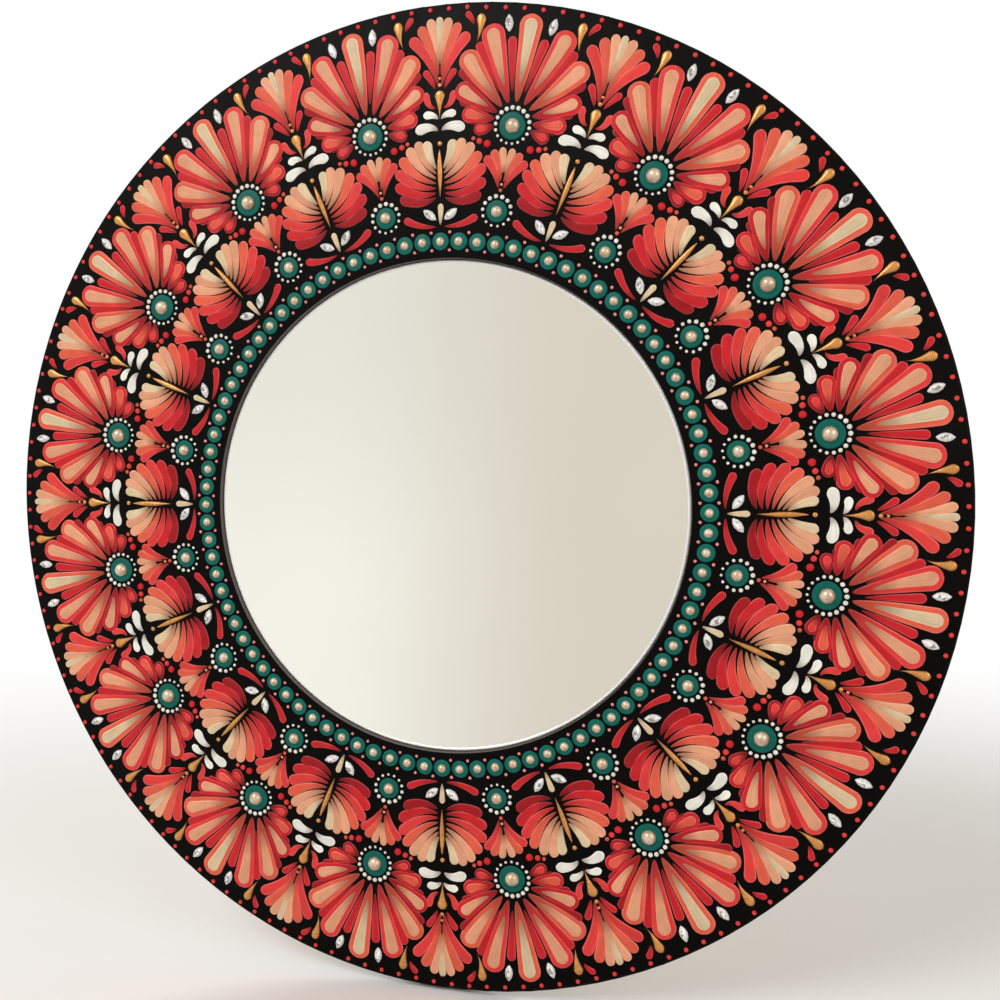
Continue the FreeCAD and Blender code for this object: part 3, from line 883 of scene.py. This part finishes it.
def cross_outline(half_arm, reach):
    """Corners and edge middles of a cross, in order round it."""
    middle = (half_arm + reach) / 2
    quarter = [(0, reach), (half_arm, reach), (half_arm, middle), (half_arm, half_arm),
               (middle, half_arm), (reach, half_arm)]
    outline = []
    for _ in range(4):
        outline += quarter
        quarter = [(out, -across) for across, out in quarter]
    return outline


# Half arm and reach of the cross in a screw, as shares of the flat on its head, and the taper to its floor
CROSS_ARM, CROSS_REACH, CROSS_TAPER = 0.16, 0.72, 0.8
# Rings in one turn of a thread, and how steep its flanks are
THREAD_RINGS, THREAD_FLANK = 4, 1.6


def screw_mesh(name, profile, shank, length, point):
    """Screw with its crown at the origin and its point towards -Y: turned head, cross recess and thread."""
    screws = bpy.context.scene.mirror_screws
    crown = profile[0][0]
    cross = cross_outline(CROSS_ARM * crown, CROSS_REACH * crown)
    turns = [math.atan2(across, out) for across, out in cross]
    corners = len(turns)

    def spot(turn, reach, depth):
        return (reach * math.sin(turn), depth, reach * math.cos(turn))

    floor = -CROSS_TAPER * screws.recess
    rings = [[(CROSS_TAPER * across, floor, CROSS_TAPER * out) for across, out in cross],
             [(across, 0, out) for across, out in cross]]
    rings += [[spot(turn, reach, depth) for turn in turns] for reach, depth in profile]
    start, tip = profile[-1][1], point - length
    steps = round((start - tip) / (screws.pitch / THREAD_RINGS))
    for step in range(1, steps + 1):
        depth = start + (tip - start) * step / steps
        ring = []
        for turn in turns:
            phase = (depth / screws.pitch + turn / math.tau) % 1
            reach = shank / 2 - screws.thread * min(1.0, THREAD_FLANK * abs(2 * phase - 1))
            ring.append(spot(turn, reach, depth))
        rings.append(ring)
    # The first two points are the middle of the recess and the tip, and the rings follow them
    points = [(0, -screws.recess, 0), (0, -length, 0)] + [place for ring in rings for place in ring]
    faces = []
    for corner in range(corners):
        following = (corner + 1) % corners
        faces.append((0, 2 + corner, 2 + following))
        faces.append((1, len(points) - corners + following, len(points) - corners + corner))
        for low in range(2, len(points) - corners, corners):
            faces.append((low + following, low + corner, low + corners + corner, low + corners + following))
    mesh = bpy.data.meshes.new(name)
    mesh.from_pydata(points, [], faces)
    shell = bmesh.new()
    shell.from_mesh(mesh)
    bmesh.ops.recalc_face_normals(shell, faces=shell.faces)
    shell.to_mesh(mesh)
    shell.free()
    return mesh


class MIRROR_OT_fixings(bpy.types.Operator):
    """Finish the straps and rings, and set the screws"""

    bl_idname = "mirror.fixings"
    bl_label = "Screws and hangers"

    BACKER_SCREWS = 8
    HANGER_SCREWS = 2
    # Flat on a countersunk head and height of its rim, as shares of its radius
    COUNTERSUNK_FLAT, COUNTERSUNK_RIM = 0.94, 0.06
    # Shares of a round head's radius and of its height, from the flat on its crown to its rim
    ROUND_HEAD = ((0.56, 0), (0.8, 0.14), (0.95, 0.38), (1, 0.7), (1, 1))

    def set_backer_screws(self, screws):
        low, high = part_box("backer_screws")
        head, shank = screws.backer_head / 2, screws.backer_shank / 2
        profile = [(self.COUNTERSUNK_FLAT * head, 0), (head, -self.COUNTERSUNK_RIM * head),
                   (shank, shank - head)]
        screw = screw_mesh("backer_screw_ring", profile, screws.backer_shank, high.y - low.y,
                           screws.backer_point)
        screw.transform(Matrix.Translation((0, high.y, high.x - head)))
        attach(ring_of(screw, self.BACKER_SCREWS, zinc_plate()), "backer_screws")

    def set_hanger_screws(self, screws, side):
        low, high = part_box(f"{side}_hanger_screws")
        head, shank, rise = screws.hanger_head / 2, screws.hanger_shank / 2, screws.hanger_head_height
        profile = [(reach * head, -drop * rise) for reach, drop in self.ROUND_HEAD] + [(shank, -rise)]
        screw = screw_mesh(f"{side}_hanger_screw_row", profile, screws.hanger_shank, high.y - low.y,
                           screws.hanger_point)
        pitch = high.z - low.z - screws.hanger_head
        row = grown(screw, row_tree(), {
            "Count": self.HANGER_SCREWS, "Start": ((low.x + high.x) / 2, high.y, high.z - head),
            "Step": (0, 0, -pitch), "Finish": zinc_plate()})
        attach(row, f"{side}_hanger_screws")

    def execute(self, context):
        screws = context.scene.mirror_screws
        self.set_backer_screws(screws)
        for side in ("left", "right"):
            smoothed(f"{side}_hanger_strap", f"{side}_strap", zinc_plate())
            smoothed(f"{side}_hanger_ring", f"{side}_d_ring", zinc_plate(), f"{side}_ring")
            self.set_hanger_screws(screws, side)
        return {"FINISHED"}


class MIRROR_OT_border(bpy.types.Operator):
    """Paint the border of discs and small dots round the opening"""

    bl_idname = "mirror.border"
    bl_label = "Border discs and dots"

    # Steps from the circle of the discs to the small dots inside and outside it
    DOT_STEPS = (-5.2, 5.3)
    DOT_DIAMETER = 2.0

    def execute(self, context):
        stones = context.scene.mirror_stones
        radius = stones.border_radius / MM
        discs = Relief(seed=11)
        discs.disc((0, radius), stones.border_disc / MM)
        ring_of_paint(discs, "border_discs", stones.border_count)
        dots = Relief(seed=12)
        for step in self.DOT_STEPS:
            dots.dot((0, radius + step), self.DOT_DIAMETER, "pink")
        ring_of_paint(dots, "border_dots", stones.border_count, HALF_STEP)
        return {"FINISHED"}


class MIRROR_OT_leaves(bpy.types.Operator):
    """Paint the round leaves of fanned strokes in the inner circle"""

    bl_idname = "mirror.leaves"
    bl_label = "Inner leaves"

    # Paints of a leaf's strokes, from the lowest to the topmost
    FAN = ("crimson", "red", "coral_red", "coral", "peach", "peach", "cream")
    # Values of the lowest and of the topmost stroke: place of its root, width and reach
    ROOT_ACROSS, ROOT_OUT = (2.8, 2.2), (186.6, 203.4)
    WIDTH, REACH = (7.3, 6.3), (22.6, 17.8)
    # Degrees by which the same two lean, bend back on the way and curl in at the tip
    LEAN, BEND, CURL = (99, 20), (22, 14), (12, 0)
    # How much longer the middle strokes are, and the share of its reach at which a stroke bends
    BULGE, BEND_PLACE = 7.6, 0.52
    MIDRIB = [(0, 186), (0, 199), (0, 215)]

    def fan_stroke(self, up):
        """Route and width of a stroke between the lowest one, at 0, and the topmost, at 1."""
        def part_way(ends):
            return ends[0] + (ends[1] - ends[0]) * up

        root = (part_way(self.ROOT_ACROSS), part_way(self.ROOT_OUT))
        lean = part_way(self.LEAN)
        reach = part_way(self.REACH) + self.BULGE * math.sin(math.pi * up) ** 0.8
        bend = polar(root, lean + part_way(self.BEND), self.BEND_PLACE * reach)
        tip = polar(root, lean - part_way(self.CURL), reach)
        return [root, bend, tip], part_way(self.WIDTH)

    def execute(self, context):
        leaf, gold = Relief(seed=21), Relief(seed=22, section=Relief.CREST)
        for layer, paint in enumerate(self.FAN):
            leaf.strokes((*self.fan_stroke(layer / (len(self.FAN) - 1)), paint, layer))
        leaf.strokes(
            ([(2.6, 169.2), (13, 168.4), (23, 174.4)], 4.8, "red", 0),
            ([(0, 170.1), (0, 174.8), (0, 182.8)], 3.8, "cream", 0))
        leaf.dots(
            ((20.8, 219.3), 2.6, "coral"),
            ((24.4, 217.6), 3.6, "coral_red"),
            ((29.2, 215.8), 4.6, "red"))
        gold.stroke(self.MIDRIB, 3.4, "gold", belly=0.6, layer=len(self.FAN))
        gold.dot((0, 218.2), 3.0, "gold")
        ring_of_paint(leaf, "leaf_strokes")
        ring_of_gold(gold, "leaf_gold")
        return {"FINISHED"}


class MIRROR_OT_tulips(bpy.types.Operator):
    """Paint the small tulips over ringed discs, between the leaves"""

    bl_idname = "mirror.tulips"
    bl_label = "Small tulips"

    def execute(self, context):
        tulip = Relief(HALF_SECTOR, seed=31)
        tulip.strokes(
            ([(1.6, 193), (4.6, 204), (13.4, 209.8)], 5.6, "coral_red", 0),
            ([(1.0, 197), (2.8, 206.5), (9.4, 214.2)], 5.4, "coral", 1),
            ([(0.6, 202), (1.0, 209), (3.8, 216.4)], 4.8, "peach", 2))
        tulip.dots(((0, 191.9), 2.4, "coral"), ((0, 195.4), 1.9, "peach"))
        centre = (0, context.scene.mirror_stones.tulip_radius / MM)
        tulip.eye(centre, disc_diameter=13, reach=8.7, copies=14, diameter=2.2)
        ring_of_paint(tulip, "tulip_strokes")
        return {"FINISHED"}


class MIRROR_OT_fans(bpy.types.Operator):
    """Paint the wide fans of petals in the outer circle"""

    bl_idname = "mirror.fans"
    bl_label = "Outer fans"

    ROOT = (0, 231)
    PETAL_START = 11.8
    # Lean, reach and width of each petal, and the paints of its edge and its core
    PETALS = ((104, 24, 8.8, "crimson", "coral_red"), (84.5, 32, 10.8, "red", "coral"),
              (65, 42, 12.4, "red", "peach"), (45, 53, 13.8, "coral", "peach"),
              (24, 59.8, 14.4, "coral_red", "peach"), (0, 62.5, 14.2, "coral", "cream"))
    # Lean, start, end, width and paint of the darker strokes that show between the petals
    BETWEEN = ((12, 18, 50, 5.8, "red"), (34.4, 20, 53, 6.2, "red"), (55, 18, 47, 6.0, "crimson"),
               (75, 16, 36, 5.2, "crimson"), (94.6, 14, 27, 4.4, "deep_crimson"))
    EDGE_LAYER, CORE_LAYER = 1, 5
    # Sideways sweep of a petal that leans by 90 degrees, as a share of its reach
    SWEEP = 0.06
    # Where the edge and the core bend and where the core starts, as shares of a petal's length
    EDGE_BEND, CORE_BEND, CORE_START = 0.55, 0.6, 0.22
    # Width of the core, and how far it ends short of the edge, as shares of a petal's width
    CORE_WIDTH, CORE_SETBACK = 0.58, 0.18

    def petal(self, fan, lean, reach, width, edge, core):
        """A broad stroke with a paler one on it, and their mirror image where they lean."""
        start, length = self.PETAL_START, reach - self.PETAL_START
        sweep = self.SWEEP * reach * lean / 90
        sine, cosine = math.sin(math.radians(lean)), math.cos(math.radians(lean))

        def route(hand, begin, bend, end):
            """Points along the petal, the middle one swept sideways."""
            return [(hand * (along * sine + across * cosine), self.ROOT[1] + along * cosine - across * sine)
                    for across, along in ((0, begin), (sweep, bend), (0, end))]

        core_start, core_end = start + self.CORE_START * length, reach - self.CORE_SETBACK * width
        for hand in both_hands(lean):
            fan.stroke(route(hand, start, start + self.EDGE_BEND * length, reach), width, edge,
                       layer=self.EDGE_LAYER)
            fan.stroke(route(hand, core_start, start + self.CORE_BEND * length, core_end),
                       self.CORE_WIDTH * width, core, layer=self.CORE_LAYER)

    def execute(self, context):
        fan = Relief(HALF_SECTOR, seed=41)
        for petal in self.PETALS:
            self.petal(fan, *petal)
        for lean, start, end, width, paint in self.BETWEEN:
            route = [polar(self.ROOT, lean, reach) for reach in (start, (start + end) / 2, end)]
            fan.strokes((route, width, paint, 0))
        centre = (0, context.scene.mirror_stones.fan_radius / MM)
        fan.eye(centre, disc_diameter=16.5, reach=10.5, copies=18, diameter=2.3)
        ring_of_paint(fan, "fan_strokes")
        return {"FINISHED"}


class MIRROR_OT_sprays(bpy.types.Operator):
    """Paint the sprays between the fans, with their white wings and gold drops"""

    bl_idname = "mirror.sprays"
    bl_label = "Outer sprays"

    def execute(self, context):
        spray, gold = Relief(seed=51), Relief(seed=52, section=Relief.CREST)
        spray.strokes(
            ([(1.2, 226), (6.5, 230.4), (15.4, 225.8)], 6.6, "white", 0),
            ([(0.9, 232.6), (4, 236.4), (10.2, 235)], 5.0, "white", 0),
            ([(2.6, 239.2), (8.2, 239.8), (8.8, 248.8)], 4.5, "coral_red", 0),
            ([(3.0, 250.4), (5.0, 255.5), (9.8, 261.4)], 4.4, "red", 0),
            ([(1.2, 252), (4, 268), (18.6, 281)], 7.2, "coral_red", 0),
            ([(0.9, 258), (2.6, 272), (12.6, 287.2)], 6.8, "coral", 1),
            ([(0.7, 264), (1.2, 277), (6.3, 291)], 6.0, "peach", 2),
            ([(0, 270), (0, 280), (0, 292)], 4.6, "cream", 3),
            ([(21.4, 285.6), (20.6, 289.4), (16.8, 292.8)], 4.0, "red", 0))
        gold.strokes(
            ([(0, 231.4), (0, 240), (0, 249.4)], 6.6, "gold", 0),
            ([(22.6, 274.6), (25.8, 280.5), (26.2, 291.6)], 6.0, "gold", 0))
        gold.dots(((0, 252.4), 2.6, "gold"), ((0, 256.4), 2.0, "gold"))
        ring_of_paint(spray, "spray_strokes")
        ring_of_gold(gold, "spray_gold")
        return {"FINISHED"}


class MIRROR_OT_rim(bpy.types.Operator):
    """Paint the row of dots along the board's edge"""

    bl_idname = "mirror.rim"
    bl_label = "Rim dots"

    RADIUS, COPIES, DIAMETER = 296.3, 160, 2.8

    def execute(self, context):
        rim = Relief(seed=61)
        rim.dot((0, self.RADIUS), self.DIAMETER, "coral_red")
        ring_of_paint(rim, "rim_dots", self.COPIES, HALF_STEP)
        return {"FINISHED"}


class MIRROR_OT_pearls(bpy.types.Operator):
    """Set the half pearls of the border, the tulips and the fans"""

    bl_idname = "mirror.pearls"
    bl_label = "Half pearls"

    # Degrees up a pearl at which its rings lie, its height by its radius, and its corners
    RISES = (0, 20, 40, 58, 75)
    FLATNESS = 0.92
    CORNERS = 16

    def dome(self, name, radius, diameter):
        """Smooth half pearl on the face, a little flatter than a half ball."""
        dome = Relief()
        rings = [(math.cos(math.radians(rise)), math.sin(math.radians(rise))) for rise in self.RISES]
        height = self.FLATNESS * diameter / 2 * MM
        dome.round_patch((0, radius), diameter, height, rings, self.CORNERS, "pearl")
        return dome.to_mesh(name)

    def execute(self, context):
        stones = context.scene.mirror_stones
        for name, node, radius, diameter, copies, first_step in (
                ("border_pearl_ring", "border_pearls", stones.border_radius, stones.border_pearl,
                 stones.border_count, 0.0),
                ("tulip_pearl_ring", "motif_pearls", stones.tulip_radius, stones.tulip_pearl,
                 SECTORS, HALF_STEP),
                ("fan_pearl_ring", "motif_pearls", stones.fan_radius, stones.fan_pearl,
                 SECTORS, HALF_STEP)):
            shape = self.dome(name, radius / MM, diameter / MM)
            attach(ring_of(shape, copies, pearl_lustre(), first_step), node)
        return {"FINISHED"}


# Scale of a crystal's outline and share of its height: flat back, girdle, crown and table
CRYSTAL_LEVELS = ((1, 0), (1, 0.25), (0.78, 0.66), (0.46, 1))
# Corners along one side of a crystal
CRYSTAL_STEPS = 6


def crystal_mesh(name, spots):
    """Faceted pointed ovals, each at a sideways step, a radius and a lean."""
    stones = bpy.context.scene.mirror_stones
    half_length, half_width = stones.crystal_length / 2, stones.crystal_width / 2
    arc = (half_length ** 2 + half_width ** 2) / (2 * half_width)

    def outline(scale):
        turns = [math.pi * step / CRYSTAL_STEPS for step in range(CRYSTAL_STEPS)]
        heights = [scale * half_length * math.cos(turn) for turn in turns]
        middle = scale * (arc - half_width)
        right = [(math.sqrt((scale * arc) ** 2 - out ** 2) - middle, out) for out in heights]
        return right + [(-across, -out) for across, out in right]

    points, faces = [], []
    corners = 2 * CRYSTAL_STEPS
    for offset, radius, lean in spots:
        first = len(points)
        turn = Matrix.Rotation(math.radians(lean), 2)
        for scale, level in CRYSTAL_LEVELS:
            for across, out in outline(scale):
                place = Vector((offset, radius)) + turn @ Vector((across, out))
                points.append((place.x, FACE_Y - level * stones.crystal_height, place.y))
        for level in range(len(CRYSTAL_LEVELS) - 1):
            low, high = first + level * corners, first + (level + 1) * corners
            for corner in range(corners):
                following = (corner + 1) % corners
                quad = (low + following, low + corner, high + corner, high + following)
                if level == 0:
                    faces.append(quad)
                elif corner % 2 == 0:
                    faces += [quad[:3], (quad[0], quad[2], quad[3])]
                else:
                    faces += [(quad[0], quad[1], quad[3]), quad[1:]]
        table = len(points) - corners
        faces.append(tuple(table + corner for corner in reversed(range(corners))))
        faces.append(tuple(first + corner for corner in range(corners)))
    mesh = bpy.data.meshes.new(name)
    mesh.from_pydata(points, [], faces)
    return mesh


class MIRROR_OT_crystals(bpy.types.Operator):
    """Set the leaning pairs of pointed crystals"""

    bl_idname = "mirror.crystals"
    bl_label = "Crystals"

    INNER_LEAN = 52
    OUTER_LEAN = 12

    def execute(self, context):
        stones = context.scene.mirror_stones
        for circle, offset, radius, lean, first_step in (
                ("inner", stones.inner_offset, stones.inner_radius, self.INNER_LEAN, 0.0),
                ("outer", stones.outer_offset, stones.outer_radius, self.OUTER_LEAN, HALF_STEP)):
            spots = [(hand * offset, radius, -hand * lean) for hand in (1, -1)]
            pair = crystal_mesh(f"{circle}_crystal_ring", spots)
            attach(ring_of(pair, SECTORS, foiled_crystal(), first_step), f"{circle}_crystals")
        return {"FINISHED"}


class MIRROR_OT_stage(bpy.types.Operator):
    """Lay the floor and set the lamps, the surroundings and the camera"""

    bl_idname = "mirror.stage"
    bl_label = "Floor, light and camera"

    FLOOR_HALF = 6.0
    # Distances from the mirror between which the floor fades to white
    FLOOR_FADE = (0.5, 1.3)
    # Colours of the reflected room, and the sideways directions between which they change
    LIGHT_SIDE, WARM_SIDE = display(246, 243, 234), display(226, 217, 203)
    ROOM_TURN = (-0.44, -0.18)
    # Two directions and the room's brightness there: down to the floor, back to the wall,
    # and, as a change of the light side's brightness, down past a low window
    ROOM_FLOOR = (-0.62, -0.34, 0.45, 1)
    ROOM_BACK = (0.05, 0.6, 1, 0.55)
    LOW_WINDOW = (0.15, -0.16, -0.07, 0.07)
    # Name, place, setting of the power and width of each lamp
    LAMPS = (("key_lamp", (-1.1, -1.9, 1.7), "key_power", 1.4),
             ("fill_lamp", (1.8, -1.2, 0.8), "fill_power", 1.4),
             ("back_lamp", (-0.9, 2.2, 1.4), "key_power", 1.6))

    def lay_floor(self):
        half = self.FLOOR_HALF
        mesh = bpy.data.meshes.new("floor")
        signs = ((-1, -1), (1, -1), (1, 1), (-1, 1))
        corners = [(across * half, along * half, FLOOR_Z) for across, along in signs]
        mesh.from_pydata(corners, [], [(0, 1, 2, 3)])
        floor = linked("floor", mesh)
        material, tree, shader = new_finish("Pale floor", {"Roughness": 0.9, "Specular IOR Level": 0.1})
        tone = use_effect(tree, hand_mixed, Color=opaque((0.92, 0.92, 0.915)), Scale=2.0, Amount=0.01)
        feed(tree, shader, {"Base Color": tone["Color"]})
        away = add_node(tree, "ShaderNodeVectorMath", {0: object_position(tree)}, operation="LENGTH")
        far = map_range(tree, away.outputs["Value"], *self.FLOOR_FADE, smooth=True)
        seen = add_node(tree, "ShaderNodeLightPath").outputs["Is Camera Ray"]
        white = add_node(tree, "ShaderNodeEmission", {"Color": (1, 1, 1, 1), "Strength": 1.0})
        fade = math_node(tree, "MULTIPLY", far, seen)
        faded = add_node(tree, "ShaderNodeMixShader", {
            0: fade, 1: shader.outputs["BSDF"], 2: white.outputs["Emission"]})
        feed(tree, tree.nodes["Material Output"], {"Surface": faded.outputs["Shader"]})
        mesh.materials.append(material)
        floor.visible_glossy = False

    def add_lamp(self, name, place, watts, width):
        lamp = bpy.data.lights.new(name, "AREA")
        lamp.energy = watts
        lamp.shape = "DISK"
        lamp.size = width
        holder = linked(name, lamp)
        holder.location = place
        holder.rotation_euler = (-Vector(place)).to_track_quat("-Z", "Y").to_euler()

    def light_surroundings(self, scene):
        """Even light, white where it is seen. Reflected, it is a pale room with a light and a warm side."""
        world = bpy.data.worlds.new("Studio")
        scene.world = world
        world.use_nodes = True
        tree = world.node_tree
        view = add_node(tree, "ShaderNodeLightPath").outputs
        seen = view["Is Camera Ray"]
        mirrored = math_node(tree, "MAXIMUM", view["Is Glossy Ray"], view["Is Transmission Ray"])
        direction = add_node(tree, "ShaderNodeTexCoord").outputs["Generated"]
        parts = add_node(tree, "ShaderNodeSeparateXYZ", {"Vector": direction}).outputs
        warm_side = map_range(tree, parts["X"], *self.ROOM_TURN, smooth=True)
        room = mix_colours(tree, warm_side, self.LIGHT_SIDE, self.WARM_SIDE)
        below = map_range(tree, parts["Z"], *self.ROOM_FLOOR, smooth=True)
        behind = map_range(tree, parts["Y"], *self.ROOM_BACK, smooth=True)
        low_window = map_range(tree, parts["Z"], *self.LOW_WINDOW, smooth=True)
        glow = math_node(tree, "MULTIPLY", low_window, map_range(tree, warm_side, 0, 1, 1, 0))
        shade = math_node(tree, "MULTIPLY", math_node(tree, "MULTIPLY", below, behind),
                          math_node(tree, "ADD", glow, 1.0))
        lit = map_range(tree, mirrored, 0, 1, scene.mirror_stage.ambient, shade)
        feed(tree, tree.nodes["Background"], {
            "Color": mix_colours(tree, seen, room, (1, 1, 1, 1)),
            "Strength": map_range(tree, seen, 0, 1, lit, 1.0)})

    def place_camera(self, scene):
        settings = scene.mirror_stage
        middle = Vector((0, FACE_Y, 0))
        camera = linked("camera", bpy.data.cameras.new("camera"))
        camera.data.lens = settings.lens
        camera.data.clip_start = 0.01
        camera.location = middle + Vector(settings.camera)
        sight = middle + Vector(settings.target) - camera.location
        camera.rotation_euler = sight.to_track_quat("-Z", "Y").to_euler()
        scene.camera = camera

    def execute(self, context):
        scene = context.scene
        self.lay_floor()
        for name, place, setting, width in self.LAMPS:
            self.add_lamp(name, place, getattr(scene.mirror_stage, setting), width)
        self.light_surroundings(scene)
        self.place_camera(scene)
        scene.view_settings.view_transform = "Standard"
        return {"FINISHED"}


PIECE_OPERATORS = (MIRROR_OT_boards, MIRROR_OT_fixings, MIRROR_OT_border, MIRROR_OT_leaves,
                   MIRROR_OT_tulips, MIRROR_OT_fans, MIRROR_OT_sprays, MIRROR_OT_rim, MIRROR_OT_pearls,
                   MIRROR_OT_crystals, MIRROR_OT_stage)
SETTINGS = {
    "mirror_paints": MIRROR_PG_paints,
    "mirror_relief": MIRROR_PG_relief,
    "mirror_stones": MIRROR_PG_stones,
    "mirror_screws": MIRROR_PG_screws,
    "mirror_stage": MIRROR_PG_stage,
}


class MIRROR_PT_panel(bpy.types.Panel):
    """Sidebar panel with the mirror's pieces and settings"""

    bl_idname = "MIRROR_PT_panel"
    bl_label = "Mandala Mirror"
    bl_space_type = "VIEW_3D"
    bl_region_type = "UI"
    bl_category = "Mandala Mirror"

    def draw(self, context):
        for operator in PIECE_OPERATORS:
            self.layout.operator(operator.bl_idname)
        for name in SETTINGS:
            settings = getattr(context.scene, name)
            box = self.layout.box()
            for entry in settings.__annotations__:
                box.prop(settings, entry)


CLASSES = (*SETTINGS.values(), *PIECE_OPERATORS, MIRROR_PT_panel)


def register():
    for entry in CLASSES:
        bpy.utils.register_class(entry)
    for name, group in SETTINGS.items():
        setattr(bpy.types.Scene, name, PointerProperty(type=group))


def unregister():
    for name in SETTINGS:
        delattr(bpy.types.Scene, name)
    for entry in reversed(CLASSES):
        bpy.utils.unregister_class(entry)


def main():
    """Registers the classes and makes every piece and the stage."""
    register()
    bpy.ops.mirror.boards()
    bpy.ops.mirror.fixings()
    bpy.ops.mirror.border()
    bpy.ops.mirror.leaves()
    bpy.ops.mirror.tulips()
    bpy.ops.mirror.fans()
    bpy.ops.mirror.sprays()
    bpy.ops.mirror.rim()
    bpy.ops.mirror.pearls()
    bpy.ops.mirror.crystals()
    bpy.ops.mirror.stage()


if __name__ == "__main__":
    main()
